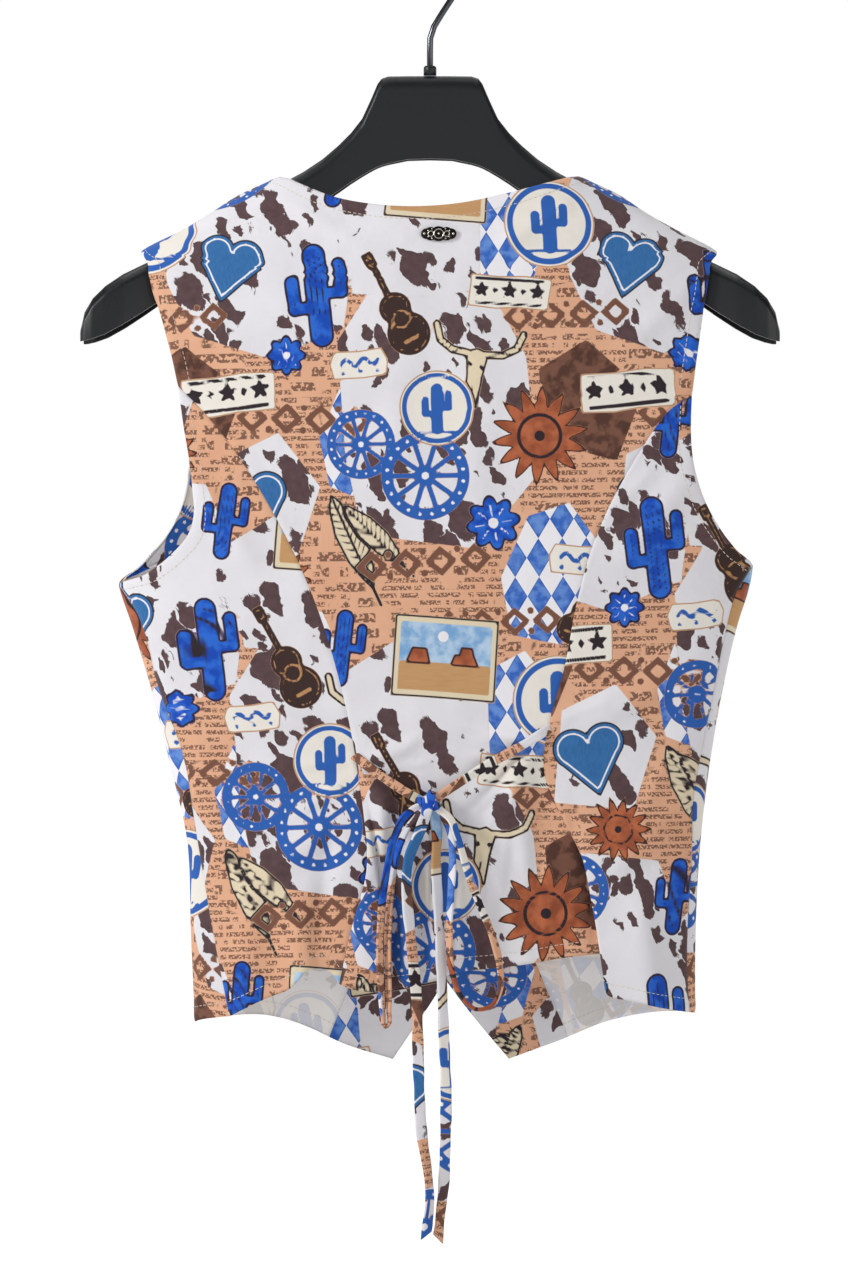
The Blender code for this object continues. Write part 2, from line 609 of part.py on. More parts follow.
def strap(name, route, width, material):
    """Sweep a flat strap along a route; tilt 0 faces the strap to the viewer's side."""
    rows = resample_route(route, TIE_STEP)
    points = rows[:, :3]
    tilts = np.radians(rows[:, 3])
    tangents = np.gradient(points, axis=0)
    tangents /= np.linalg.norm(tangents, axis=1, keepdims=True)
    outward = np.array((0.0, -1.0, 0.0))
    vertices = []
    for point, tangent, tilt in zip(points, tangents, tilts):
        level = np.cross(tangent, outward)
        level /= np.linalg.norm(level)
        face = np.cross(level, tangent)
        side = math.cos(tilt) * level + math.sin(tilt) * face
        front = math.cos(tilt) * face - math.sin(tilt) * level
        for across, out in ((-1, -1), (1, -1), (1, 1), (-1, 1)):
            vertices.append((point + side * across * width / 2 + front * out * TIE_THICKNESS / 2) * MM)
    faces = [(0, 1, 2, 3)]
    for ring in range(len(points) - 1):
        for corner in range(4):
            a = ring * 4 + corner
            b = ring * 4 + (corner + 1) % 4
            faces.append((a, b, b + 4, a + 4))
    last = (len(points) - 1) * 4
    faces.append((last + 3, last + 2, last + 1, last))
    return build_object(name, vertices, faces, material)


def knot(material):
    work = bmesh.new()
    bmesh.ops.create_uvsphere(work, u_segments=16, v_segments=10, radius=1.0)
    mesh = bpy.data.meshes.new("tie_knot")
    work.to_mesh(mesh)
    work.free()
    obj = bpy.data.objects.new("tie_knot", mesh)
    bpy.context.scene.collection.objects.link(obj)
    obj.location = [value * MM for value in KNOT_PLACE]
    obj.scale = [value * MM for value in KNOT_HALF_SIZE]
    mesh.materials.append(material)
    for polygon in mesh.polygons:
        polygon.use_smooth = True
    return obj


def waist_tie(material):
    strap("tie_strap_left", STRAP_LEFT, TIE_WIDTH, material)
    strap("tie_strap_right", STRAP_RIGHT, TIE_WIDTH, material)
    strap("tie_loop_left", LOOP_LEFT, LOOP_WIDTH, material)
    strap("tie_loop_right", LOOP_RIGHT, LOOP_WIDTH, material)
    strap("tie_tail_left", TAIL_LEFT, TIE_WIDTH, material)
    strap("tie_tail_right", TAIL_RIGHT, TIE_WIDTH, material)
    knot(material)


def surface_frame(x, z, side, lift):
    """Point and outward direction on the cloth at a place across and up the body."""
    angle = np.array([float(angle_of(np.array(float(x)), np.array(float(z)), side))])
    height = np.array([float(z)])
    points, normals = panel_points(np.stack([angle, height], axis=-1), np.array([lift]))
    return points[0], normals[0]


def turned_disc(name, profile, segments, material):
    """Turn a profile of radius and height about its own Z axis."""
    work = bmesh.new()
    rings = []
    for radius, height in profile:
        ring = []
        for step in range(segments):
            turn = 2 * math.pi * step / segments
            ring.append(work.verts.new((radius * MM * math.cos(turn), radius * MM * math.sin(turn), height * MM)))
        rings.append(ring)
    for lower, upper in zip(rings, rings[1:]):
        for step in range(segments):
            after = (step + 1) % segments
            work.faces.new((lower[step], lower[after], upper[after], upper[step]))
    work.faces.new(list(reversed(rings[0])))
    work.faces.new(rings[-1])
    mesh = bpy.data.meshes.new(name)
    work.to_mesh(mesh)
    work.free()
    obj = bpy.data.objects.new(name, mesh)
    bpy.context.scene.collection.objects.link(obj)
    mesh.materials.append(material)
    return obj


def lay_on_cloth(obj, point, normal, height):
    """Set an object's own Z axis along the cloth's outward direction, above the cloth."""
    flat = np.array((normal[0], normal[1], 0.0))
    flat /= np.linalg.norm(flat)
    obj.rotation_euler = (math.radians(90), 0.0, math.atan2(flat[0], -flat[1]))
    obj.location = [value * MM for value in point + flat * height]


def buttons(material):
    profile = (
        (BUTTON_RADIUS - 0.9, 0.0), (BUTTON_RADIUS, 0.9), (BUTTON_RADIUS, 1.9),
        (BUTTON_RADIUS - 0.8, BUTTON_THICKNESS), (BUTTON_RADIUS - 2.2, BUTTON_THICKNESS - 0.7),
    )
    for number, height in enumerate(BUTTON_HEIGHTS, start=1):
        point, normal = surface_frame(FRONT_CENTRE, height, "front", 1.5 * LAYER_STEP)
        disc = turned_disc("button_%d" % number, profile, 24, material)
        lay_on_cloth(disc, point, normal, WALL / 2 + BUTTON_STAND)


def neck_ornament(material):
    """A plain metal bar with round ends and a diamond in the middle."""
    end_radius = 3.0
    bar_half = 1.5
    diamond_half_length = 5.0
    reach = ORNAMENT_LENGTH / 2 - end_radius
    start = math.degrees(math.asin(bar_half / end_radius))
    outline_points = []
    for step in range(9):
        turn = math.radians(-180 + start + step * (360 - 2 * start) / 8)
        outline_points.append((reach + end_radius * math.cos(turn), end_radius * math.sin(turn)))
    bar_start = diamond_half_length * (1 - bar_half / (ORNAMENT_HEIGHT / 2))
    outline_points += [(bar_start, bar_half), (0.0, ORNAMENT_HEIGHT / 2), (-bar_start, bar_half)]
    for step in range(9):
        turn = math.radians(start + step * (360 - 2 * start) / 8)
        outline_points.append((-reach + end_radius * math.cos(turn), end_radius * math.sin(turn)))
    outline_points += [(-bar_start, -bar_half), (0.0, -ORNAMENT_HEIGHT / 2), (bar_start, -bar_half)]
    count = len(outline_points)
    vertices = [(x * MM, y * MM, 0.0) for x, y in outline_points]
    vertices += [(x * MM, y * MM, ORNAMENT_THICKNESS * MM) for x, y in outline_points]
    faces = [tuple(range(count - 1, -1, -1)), tuple(range(count, 2 * count))]
    for step in range(count):
        after = (step + 1) % count
        faces.append((step, after, after + count, step + count))
    obj = build_object("neck_ornament", vertices, faces, material, smooth=False)
    point, normal = surface_frame(*ORNAMENT_PLACE, "back", 0.0)
    lay_on_cloth(obj, point, normal, WALL / 2 + ORNAMENT_STAND)


def hanger_section(x, top, underside, half_width, channel):
    """Section of the hanger across its length: a rounded top over an open channel."""
    arc_height = min(HANGER_ARC_HEIGHT, (top - underside) * 0.55)
    points = [(-half_width, underside)]
    for step in range(HANGER_ARC_CELLS + 1):
        turn = math.pi * (1 - step / HANGER_ARC_CELLS)
        points.append((half_width * math.cos(turn), top - arc_height * (1 - math.sin(turn))))
    points.append((half_width, underside))
    inner_half = half_width - HANGER_WALL
    roof = min(underside + channel, top - HANGER_WALL)
    inner_arc = min(arc_height, (roof - underside) * 0.55)
    points.append((inner_half, underside))
    for step in range(HANGER_ARC_CELLS + 1):
        turn = math.pi * step / HANGER_ARC_CELLS
        points.append((inner_half * math.cos(turn), roof - inner_arc * (1 - math.sin(turn))))
    points.append((-inner_half, underside))
    return [(x, across, height) for across, height in points]


def hanger(material):
    stations = [(-row[0],) + row[1:] for row in reversed(HANGER_HALF[1:])] + list(HANGER_HALF)
    rings = [hanger_section(*row) for row in stations]
    count = len(rings[0])
    vertices = [tuple(value * MM for value in point) for ring in rings for point in ring]
    faces = []
    for ring in range(len(rings) - 1):
        for step in range(count):
            after = (step + 1) % count
            a = ring * count
            faces.append((a + step, a + after, a + count + after, a + count + step))
    outer = HANGER_ARC_CELLS + 3
    for base, flip in ((0, False), ((len(rings) - 1) * count, True)):
        for step in range(outer - 1):
            quad = (base + step, base + step + 1, base + count - 2 - step, base + count - 1 - step)
            faces.append(tuple(reversed(quad)) if flip else quad)
    build_object("hanger", vertices, faces, material)


def hook(material):
    """Bend the wire from the stem into a round hook about the rail."""
    centre = -HOOK_RADIUS + HOOK_WIRE
    stem = np.array(HOOK_STEM, float)
    arc = []
    angle = HOOK_ARC_FROM
    while angle <= HOOK_ARC_TO:
        turn = math.radians(angle)
        arc.append((HOOK_RADIUS * math.cos(turn), centre + HOOK_RADIUS * math.sin(turn)))
        angle += HOOK_ARC_STEP
    points = np.concatenate([stem, np.array(arc)])
    curve = bpy.data.curves.new("hook", "CURVE")
    curve.dimensions = "3D"
    curve.bevel_depth = HOOK_WIRE * MM
    curve.bevel_resolution = 3
    curve.use_fill_caps = True
    spline = curve.splines.new("POLY")
    spline.points.add(len(points) - 1)
    for spot, (x, z) in zip(spline.points, points):
        spot.co = (x * MM, 0.0, z * MM, 1.0)
    spline.use_smooth = True
    obj = bpy.data.objects.new("hook", curve)
    bpy.context.scene.collection.objects.link(obj)
    curve.materials.append(material)


def collar(material):
    height = COLLAR_TOP - COLLAR_BOTTOM
    profile = ((COLLAR_RADIUS, 0.0), (COLLAR_RADIUS, height - 1.2), (COLLAR_RADIUS - 0.9, height))
    obj = turned_disc("hook_collar", profile, 24, material)
    obj.location = (0.0, 0.0, COLLAR_BOTTOM * MM)


def main():
    clear_scene()
    cloth = make_material("printed_cloth", CLOTH_COLOUR, 0.85, 0.0)
    tie = make_material("printed_tie", TIE_COLOUR, 0.85, 0.0)
    plastic = make_material("hanger_plastic", PLASTIC_COLOUR, 0.42, 0.0)
    chrome = make_material("hook_metal", CHROME_COLOUR, 0.22, 1.0)
    ornament = make_material("ornament_metal", ORNAMENT_COLOUR, 0.35, 1.0)
    button = make_material("button_plastic", BUTTON_COLOUR, 0.4, 0.0)
    back_panels(cloth)
    front_panels(cloth)
    waist_tie(tie)
    buttons(button)
    neck_ornament(ornament)
    hanger(plastic)
    collar(plastic)
    hook(chrome)


main()
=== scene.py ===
"""The look of the western vest on its hanger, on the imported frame."""
import math

import bpy
import numpy as np
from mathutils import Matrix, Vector


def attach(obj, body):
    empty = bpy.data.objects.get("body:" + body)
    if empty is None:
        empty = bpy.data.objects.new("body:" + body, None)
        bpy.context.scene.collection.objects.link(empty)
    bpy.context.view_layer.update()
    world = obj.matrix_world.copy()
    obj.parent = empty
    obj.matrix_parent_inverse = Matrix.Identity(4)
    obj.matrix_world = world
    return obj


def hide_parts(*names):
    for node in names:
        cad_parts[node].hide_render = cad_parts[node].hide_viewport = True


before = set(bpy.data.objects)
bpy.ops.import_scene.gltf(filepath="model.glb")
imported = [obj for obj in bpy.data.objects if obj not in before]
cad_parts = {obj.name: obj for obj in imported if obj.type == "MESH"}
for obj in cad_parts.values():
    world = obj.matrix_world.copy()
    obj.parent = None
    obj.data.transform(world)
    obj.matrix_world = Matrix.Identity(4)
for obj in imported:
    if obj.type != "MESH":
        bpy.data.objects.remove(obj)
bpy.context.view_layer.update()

MM = 0.001
TO_VIEWER = np.array((0.0, -1.0, 0.0))

# Cloth
WALL = 1.1
LAYER_STEP = 1.5
ARMHOLE_FACING_STEP = 1.85
ROUNDNESS = 0.7

# Body sections: height, left edge, right edge, depth to the back, depth to the front
SECTIONS = (
    (-730, -148, 167, 37, 37), (-688, -148.5, 167.3, 37, 37), (-632, -150.8, 167.5, 36, 36),
    (-570, -153.7, 171, 33, 35), (-528, -163.2, 176, 31, 34), (-485, -173.8, 183.3, 34, 36),
    (-437, -188.1, 194, 38, 39), (-411, -196.6, 202, 40, 40), (-360, -196, 203, 40, 40),
    (-300, -192, 195, 39, 39), (-240, -186, 186, 38, 38), (-200, -180, 178.7, 36, 36),
    (-188, -156.1, 155.5, 34, 34), (-177, -137.9, 136, 32, 32), (-166, -120.5, 119.5, 30, 30),
    (-154, -94.2, 93.8, 28, 28), (-140, -66, 66, 26, 26),
)
NECK_HEIGHT = -154
SHOULDER_HEIGHT = -200

# Outlines of the back: across, height
BACK_NECK = (
    (-94.2, -154), (-81.1, -160.3), (-60.7, -168.7), (-34.8, -173.8), (0, -174.9), (19.6, -172.9),
    (45, -167.5), (71.2, -160.3), (84.1, -156.6), (93.8, -154),
)
ARMHOLE_UPPER_LEFT = ((-180, -200), (-175.3, -223.6), (-165, -257.2), (-158, -287.6))
ARMHOLE_UPPER_RIGHT = ((178.7, -200), (173.8, -227.8), (168.5, -262), (164.3, -293.2))
ARMHOLE_LOWER_LEFT = (
    (-158, -287.6), (-154.8, -311), (-151, -334), (-148.5, -357), (-149, -375), (-163.7, -394.4),
    (-186, -408.5), (-196.6, -412),
)
ARMHOLE_LOWER_RIGHT = (
    (164.3, -293.2), (163.6, -315), (165, -334.6), (169.5, -352), (177.5, -369.5), (189, -386),
    (203.4, -400),
)
SIDE_SEAM_LEFT = (
    (-196.6, -412), (-188, -424), (-170.6, -478.4), (-155.5, -520), (-147.5, -567), (-136, -633),
    (-126, -683),
)
SIDE_SEAM_RIGHT = (
    (203.4, -400), (193, -417), (186.5, -440), (179, -478), (171.5, -515), (166.5, -541), (165, -587),
    (162.4, -625), (162, -655), (163.5, -681.5),
)
PRINCESS_LEFT = (
    (-158, -287.6), (-143.5, -302.1), (-119, -333), (-99.2, -365.3), (-82.2, -398.6), (-65.7, -441),
    (-56.5, -473.4), (-46.8, -520.1), (-43.6, -545), (-44.6, -597.9), (-49.9, -625.7), (-56.9, -662),
)
PRINCESS_RIGHT = (
    (164.3, -293.2), (149.5, -303.4), (135.2, -323.3), (118.2, -351.4), (100.5, -391.1), (90.4, -430),
    (84.7, -461.4), (74.5, -500), (71, -525), (82.8, -558.2), (94.5, -580), (104.9, -622), (110, -656),
)
HEM_CENTRE = (
    (-56.9, -662), (-49.3, -665.5), (-32.4, -667.4), (-3.8, -662.3), (13, -656.5), (56.9, -651), (88, -646),
    (102, -645), (110, -656),
)
HEM_SIDE_LEFT = ((-56.9, -662), (-64, -653.5), (-74, -652.5), (-87.8, -665), (-105.2, -672.4), (-126, -683))
HEM_SIDE_RIGHT = ((110, -656), (116.5, -668.5), (128, -673), (143.5, -677.3), (163.5, -681.5))

# Outlines of the fronts: across, height
FRONT_ARMHOLE_LEFT = (
    (-180, -200), (-172, -222), (-163, -252), (-156.5, -285), (-153.5, -318), (-154.8, -344.4),
    (-159.9, -365), (-170, -383), (-185.8, -400), (-196.6, -412),
)
FRONT_ARMHOLE_RIGHT = (
    (178.7, -200), (170, -222), (162, -252), (157, -285), (156.5, -315), (160.5, -342), (168, -362),
    (179, -379), (190, -390), (203.4, -400),
)
V_NECK_LEFT = ((-94.2, -154), (-74, -195), (-50, -250), (-24, -308), (4, -362), (20, -392))
V_NECK_RIGHT = ((93.8, -154), (81, -195), (61, -250), (38, -308), (12, -362), (-5, -392))
FRONT_EDGE_LEFT = ((20, -392), (20, -520), (20, -600), (19, -644))
FRONT_EDGE_RIGHT = ((-5, -392), (-5, -520), (-5, -600), (-3.5, -644))
CUTAWAY_LEFT = ((19, -644), (5.7, -670.9), (-11.6, -697), (-23.8, -715.1))
CUTAWAY_RIGHT = ((-3.5, -644), (14.5, -671), (31, -692), (50.6, -715))
FRONT_HEM_LEFT = ((-23.8, -715.1), (-55, -705.3), (-80.9, -693.3), (-105.2, -686.5), (-148.5, -688.2))
FRONT_HEM_RIGHT = ((50.6, -715), (82.2, -703.3), (112.8, -691), (140, -684.5), (167, -682.5))
FRONT_CENTRE = 8.0
OVERLAP_START = 46.0
OVERLAP_RAMP = 26.0
FRONT_FROM = 120
UNDER_LAYER = -0.5
OVER_LAYER = 1.5

# Pleats below the tie: height and place of the fold's edge
PLEAT_LEFT = ((-520, -40), (-560, -37), (-600, -32.5), (-640, -31), (-700, -31))
PLEAT_RIGHT = (
    (-500, 74.5), (-525, 71), (-558, 82.8), (-580, 94.5), (-622, 104.9), (-656, 110), (-700, 117),
)
PLEAT_TOP = -528
PLEAT_FULL = -610
PLEAT_STEP = 11.0
PLEAT_SOFTNESS = 3.2
PLEAT_PULL_LEFT = 1.1
PLEAT_PULL_RIGHT = 1.5
PLEAT_PULL_REACH = 2.4

# Folds: start across and height, end across and height, width, rise away from the body
BACK_FOLDS = (
    (-44, -522, -12, -516, 5, 1.6), (-42, -532, -16, -570, 5.5, 2), (-30, -540, -22, -610, 6, 2.4),
    (70, -506, 34, -508, 5, 1.6), (66, -516, 40, -560, 6, 2.2), (56, -530, 60, -610, 7.5, 2.6),
    (4, -566, 2, -668, 9, 3), (40, -572, 34, -660, 9, 2.6), (-74, -500, -140, -478, 9, 1.8),
    (92, -500, 158, -470, 9, 1.8), (-60, -560, -112, -600, 10, 2.2), (108, -600, 146, -560, 10, 2),
    (-84, -600, -78, -690, 12, 4), (-112, -610, -118, -690, 11, 2.6), (132, -605, 140, -690, 11, 3),
    (-150, -345, -110, -400, 9, 1.6), (160, -345, 122, -396, 9, 1.6), (-60, -190, 70, -196, 10, 1.5),
    (-40, -524, -6, -508, 3, 0.9), (-42, -528, -2, -524, 2.6, 0.8), (-40, -536, -10, -556, 3, 1),
    (-36, -545, -16, -600, 3.6, 1.2), (66, -510, 20, -500, 3, 0.9), (64, -514, 26, -520, 2.8, 0.9),
    (60, -522, 30, -552, 3.2, 1.1), (52, -530, 44, -600, 4, 1.2), (24, -566, 18, -640, 4.6, 1.3),
    (-21, -566, -21, -654, 4.2, -2.6), (-12, -572, -12, -650, 3.6, 2.2), (-2.5, -570, -1, -652, 3.8, -2.2),
    (8, -572, 7, -648, 4, 1.5), (38, -576, 46, -650, 6, -1.3), (76, -580, 70, -650, 5.5, 1.3),
    (92, -560, 98, -640, 5, -1.4), (-62, -560, -70, -640, 6, -1.2), (-52, -516, -88, -496, 3.5, 0.9),
    (-52, -524, -92, -526, 3.5, 0.9), (-52, -534, -84, -556, 4, 1), (80, -498, 116, -482, 3.5, 0.9),
    (84, -512, 124, -510, 3.5, 0.9), (90, -530, 122, -544, 4, 1), (-130, -340, -96, -372, 5, 0.8),
    (140, -340, 112, -368, 5, 0.8), (-168, -222, -120, -262, 7, 1), (166, -222, 122, -264, 7, 1),
    (-88, -172, -44, -200, 6, 0.8), (88, -172, 46, -200, 6, 0.8), (-16, -230, -22, -330, 12, 0.9),
    (34, -260, 26, -390, 12, 0.9), (-150, -540, -118, -590, 6, 1.1), (150, -520, 124, -575, 6, 1.1),
)
FRONT_FOLDS = (
    (-150, -350, -100, -410, 9, 1.8), (156, -350, 108, -410, 9, 1.8), (-120, -500, -60, -470, 9, 1.8),
    (135, -500, 75, -470, 9, 1.8), (-100, -590, -92, -690, 12, 3.4), (118, -590, 112, -690, 12, 3.4),
    (-60, -420, -10, -400, 4.5, 1), (70, -420, 22, -402, 4.5, 1), (-70, -520, -14, -528, 5, 1.1),
    (86, -520, 28, -528, 5, 1.1), (-60, -600, -50, -690, 7, 1.3), (78, -600, 70, -690, 7, 1.3),
    (-164, -230, -110, -280, 7, 1.1), (162, -230, 112, -280, 7, 1.1), (-150, -440, -96, -470, 6, 1.1),
    (152, -440, 100, -470, 6, 1.1),
)
FOLD_DEPTH = 1.65
FOLD_START = (-0.25, 0.3)
FOLD_END = (0.75, 1.3)
FOLD_FREE = (0.05, 0.45)

# Grid counts along each outline
SHOULDER_CELLS = 6
BACK_ACROSS_CELLS = 24
ARMHOLE_UPPER_CELLS = 6
ARMHOLE_LOWER_CELLS = 11
PRINCESS_CELLS = 24
FRONT_ARMHOLE_CELLS = 13
FRONT_ACROSS_CELLS = 14
V_NECK_CELLS = 13
FRONT_EDGE_CELLS = 18
CUTAWAY_CELLS = 6
FRONT_FACING_CELLS = 4
ARMHOLE_FACING_CELLS = 3
EDGE_CLUSTER = 1.0
SHOULDER_CLUSTER = 4.0
UPPER_CLUSTER = 0.8
UNDERARM_CLUSTER = 2.4
LEVEL_POWER = 1.8
WRAP_CELLS = 2
DEGREE_LENGTH = 2.6

# Waist tie: a flat strap sewn into the princess seams. Routes: across, depth, height, tilt
TIE_WIDTH = 7.0
LOOP_WIDTH = 4.8
STRAP_WIDTH = 6.0
KNOT_PLACE = (-1.0, -40.0, -549.0)
KNOT_HALF_SIZE = (7.6, 5.9, 6.8)
STRAP_LEFT = (
    (-52.5, -26.4, -515, 12), (-48.8, -28.4, -517.9, 12), (-45.2, -32.4, -520.8, 12),
    (-42, -34.5, -523.3, 12), (-36.7, -35.4, -527.5, 12), (-22.1, -37.4, -537.5, 20),
    (-7.9, -39.5, -545.9, 28), (-3, -40, -548.4, 30),
)
STRAP_RIGHT = (
    (82, -26, -498, 12), (77.6, -27.8, -500.6, 12), (73.4, -32, -503.1, 12), (69.4, -34.4, -505.5, 12),
    (60, -35.4, -511.3, 12), (40, -36.8, -522.5, 12), (20, -38.6, -534.8, 22), (6.8, -39.8, -543.6, 28),
    (1, -40.2, -547.6, 30),
)
LOOP_LEFT = (
    (-3.4, -43.4, -549.4, 30), (-8.6, -45.2, -551, 30), (-15.6, -45.8, -556.4, 30),
    (-22.3, -44.8, -570, 30), (-27.3, -43.9, -592, 28), (-30.5, -43.4, -617.5, 28),
    (-31.5, -43.4, -642.7, 32), (-30.4, -43.4, -668, 46), (-29.4, -43.2, -681, 66), (-27.9, -43, -688, 86),
    (-26.2, -42.4, -687, 86), (-25.8, -41.8, -678, 66), (-26, -40.8, -660, 44), (-26.4, -40.2, -635, 36),
    (-24.6, -39.4, -605, 34), (-20.6, -38.6, -580, 34), (-13.6, -37.8, -563.5, 34),
    (-7.6, -37.6, -556.6, 34), (-3, -38.2, -551, 34),
)
LOOP_RIGHT = (
    (1.6, -43, -549.6, 30), (5.8, -44.2, -552.6, 30), (12, -45, -557.6, 28), (17.2, -44.6, -570, 26),
    (22.7, -43.8, -589, 24), (31, -43.2, -612, 24), (39, -43, -632, 28), (43.4, -43, -650, 38),
    (43.6, -43, -665, 56), (38.5, -43, -675, 72), (29, -43, -677.2, 78), (19.5, -43, -669.5, 68),
    (13.6, -42.8, -653, 50), (11.9, -42.2, -630, 36), (13, -41, -605, 30), (14, -39, -584, 28),
    (13, -37.6, -569, 28), (8.2, -36.8, -557.4, 28), (3, -37.4, -551, 28),
)
TAIL_LEFT = (
    (-0.6, -41.6, -550, 16), (-2.8, -42.8, -556, 18), (-6.6, -43.6, -566.5, 20), (-13.4, -45, -584, 24),
    (-14.6, -45.4, -604, 28), (-12.6, -45.6, -626.9, 26), (-10.4, -45.4, -649.1, 20),
    (-8.2, -45, -674.3, 12), (-7.6, -45, -699.6, 8), (-6.6, -45, -731.2, 8), (-5, -45, -756.5, 16),
    (-1.6, -45, -777.5, 42), (-0.2, -45, -793.3, 48), (-2.4, -45, -818, 14),
)
TAIL_RIGHT = (
    (1, -39.4, -550, 20), (2.6, -38.6, -556, 20), (4.2, -38.6, -568, 26), (3.6, -38.6, -584, 30),
    (4.6, -38.8, -606, 32), (6, -39, -632, 32), (7.4, -39.2, -660, 28), (8.4, -39.5, -690, 22),
    (10, -39.6, -731.2, 8), (9.4, -39.6, -764, 8), (8.4, -39.6, -788.1, 22), (6.4, -39.6, -806, 34),
    (5, -39.6, -821, 22),
)

# Parts of the tie: name, route, width, place in the print, slant of the cut end, what the far end is at
TIE_PARTS = (
    ("strap_left", STRAP_LEFT, STRAP_WIDTH, (30, 40), 0, None),
    ("strap_right", STRAP_RIGHT, STRAP_WIDTH, (150, 190), 0, None),
    ("loop_left", LOOP_LEFT, LOOP_WIDTH, (206, 230), 0, "object"),
    ("loop_right", LOOP_RIGHT, LOOP_WIDTH, (92, 260), 0, "object"),
    ("tail_left", TAIL_LEFT, TIE_WIDTH, (148, 240), 3, "bare"),
    ("tail_right", TAIL_RIGHT, TIE_WIDTH, (34, 280), -3, "bare"),
)
# Turns of the knot: run, direction of the width, reach, depth, width, place in the print
KNOT_BANDS = (
    ((0.96, 0, -0.28), (0.28, 0, 0.96), 7.6, 8.0, 7.0, (206, 196)),
    ((0.3, 0, 0.954), (0.954, 0, -0.3), 8.0, 8.8, 7.2, (62, 52)),
)
WRAP_BODY = 2.8
CORE_CELLS = (20, 28)
CORE_PRINT = (30, 60)

# Buttons and neck ornament
BUTTON_RADIUS = 7.5
BUTTON_THICKNESS = 2.6
BUTTON_HEIGHTS = (-408, -468, -528, -588)
BUTTON_STAND = 0.8
BUTTON_HOLE_REACH = 1.5
ORNAMENT_STAND = 0.85
ORNAMENT_PLACE = (5.4, -193.0)
ORNAMENT_LENGTH = 22.0
ORNAMENT_HEIGHT = 9.4
ORNAMENT_END = 3.2
ORNAMENT_BAR = 3.3
ORNAMENT_SEGMENTS = 120
ORNAMENT_THICKNESS = 1.4

# Hanger stations: across, top, underside, half width, depth of the channel under it
HANGER_HALF = (
    (0, -90, -142.8, 6.5, 1), (14, -90, -143.2, 6.5, 1), (26.5, -90.2, -145.8, 6.5, 1),
    (30.6, -91.6, -147, 6.5, 1), (33.2, -95, -148, 6.6, 1), (37.5, -105, -150.2, 6.8, 1.2),
    (43, -117, -153.4, 7.2, 2), (50, -126, -157.8, 7.8, 5), (58, -134, -163.4, 8.5, 12),
    (68, -142.6, -170, 9.4, 19), (80, -150.6, -177.5, 10.4, 22.5), (96, -159.3, -187.4, 11.2, 24),
    (112, -167, -197.2, 12, 25.6), (128, -176.2, -207, 12.8, 26.2), (144, -186.2, -216.8, 13.6, 26.2),
    (160, -196.2, -226.6, 13.8, 26.2), (172, -204.8, -234.2, 14, 26.2), (182, -209.6, -241, 16, 27),
    (194, -215.4, -248.6, 18.6, 28), (205, -222.8, -254.6, 19.8, 27), (213, -230.6, -257.4, 19.8, 22),
    (218, -239, -258.6, 18.6, 15), (220.2, -249, -258.8, 16.4, 6),
)
HANGER_WALL = 2.6
HANGER_ARC_HEIGHT = 9.0

# Hook and collar
HOOK_WIRE = 2.0
HOOK_RADIUS = 24.0
HOOK_STEM = ((0, -83.2), (0, -74), (0.2, -66), (2.6, -58.6), (7.2, -51), (12.8, -42.4), (18.6, -33.6))
HOOK_ARC_FROM = -8.0
HOOK_ARC_TO = 198.0
HOOK_ARC_STEP = 2.0
HOOK_SIDES = 24
ROUND_SEGMENTS = 48
COLLAR_RADIUS = 4.1
COLLAR_TOP = -83.6
COLLAR_BOTTOM = -89.65

# Grid refinement over the frame's cells
FINE_BACK_ACROSS = 7
FINE_ROWS = 7
FINE_SIDE_ACROSS = 6
FINE_FRONT_ACROSS = 8

# Flat cuts that show: widths, lengths and areas in metres, left then right where they differ
FLAT_CUTS = {
    "back_centre": ((0.375, 0.529), 0.109, ("hanger",)),
    "back_side": (((0.161, 0.396), (0.143, 0.389)), (0.0333, 0.0298), ()),
    "front": (((0.282, 0.577), (0.255, 0.577)), (0.0952, 0.0912), ("hanger",)),
    "front_facing": ((0.057, 0.565), None, ()),
    "armhole_facing": (((0.02, 0.232), (0.018, 0.22)), (None, None), ()),
}

# Seams, hems and thread. Masks: how much an edge is a seam, and a hem
SEAM = (1, 0)
HEM = (0, 1)
SEAM_DIP = 0.55
SEAM_SOFTNESS = 1.5
EDGE_DROP = 0.25
EDGE_SOFTNESS = 0.8
HEM_DEPTH = 8.6
HEM_RIDGE = 0.22
STITCH_LENGTH = 2.3
STITCH_PITCH = 3.3
STITCH_RADIUS = 0.24
STITCH_STAND = 0.05
STITCH_SIDES = 5
STITCH_PROFILE = ((-0.5, 0.25), (-0.28, 1.0), (0.28, 1.0), (0.5, 0.25))

# Print: the repeat and the drawing's channels
REPEAT_ACROSS = 252.0
REPEAT_DOWN = 300.0
CHANNELS = (
    "hide", "harlequin", "patch", "paper", "sky", "sand", "rust", "dark",
    "denim", "royal", "mid", "cream", "block", "ink", "white", "tan",
)
CHANNEL_RANGE = 10.0
FAR = 1000.0
CHEST_HEIGHT = -300.0
FLAT_ROUNDS = 900
FLAT_PUSH = 1.3
INK_SOFTNESS = 0.25
DIAMOND_WIDTH = 15.0
DIAMOND_HEIGHT = 24.0
# Reverse of the cloth: mixed towards white partly for its own faint print and partly as painted light that
# comes through the thin cloth; its glow is painted light through the cloth, not a lamp.
REVERSE_FADE_AND_LIGHT = 0.76
REVERSE_PAINTED_GLOW = 0.1
NEWS_ROWS = ((4.7, 0.15, 0.72, 0.43), (9.6, 0.085, 0.4, 0.47))
NEWS_STRENGTH = 0.82
SPOT_LEAN = math.radians(-27)
LARGE_SPOTS = (21.0, 0.0, 0.6)
SMALL_SPOTS = (10.5, -0.2, 0.52)
SPOT_WANDER = (14.0, 14.0, 0.0)
CLOTH_ROUGHNESS = 0.86
CLOTH_SHEEN = 0.12
CLOTH_SPECULAR = 0.25
STRAP_STEP = 1.4
STRAP_SIDES = 16
STRAP_BODY = 2.5
KNOT_STEPS = 40
STRAP_EDGE_POWER = 0.55
WRAP_EDGE_POWER = 0.6
STRAP_FACE_POWER = 0.8
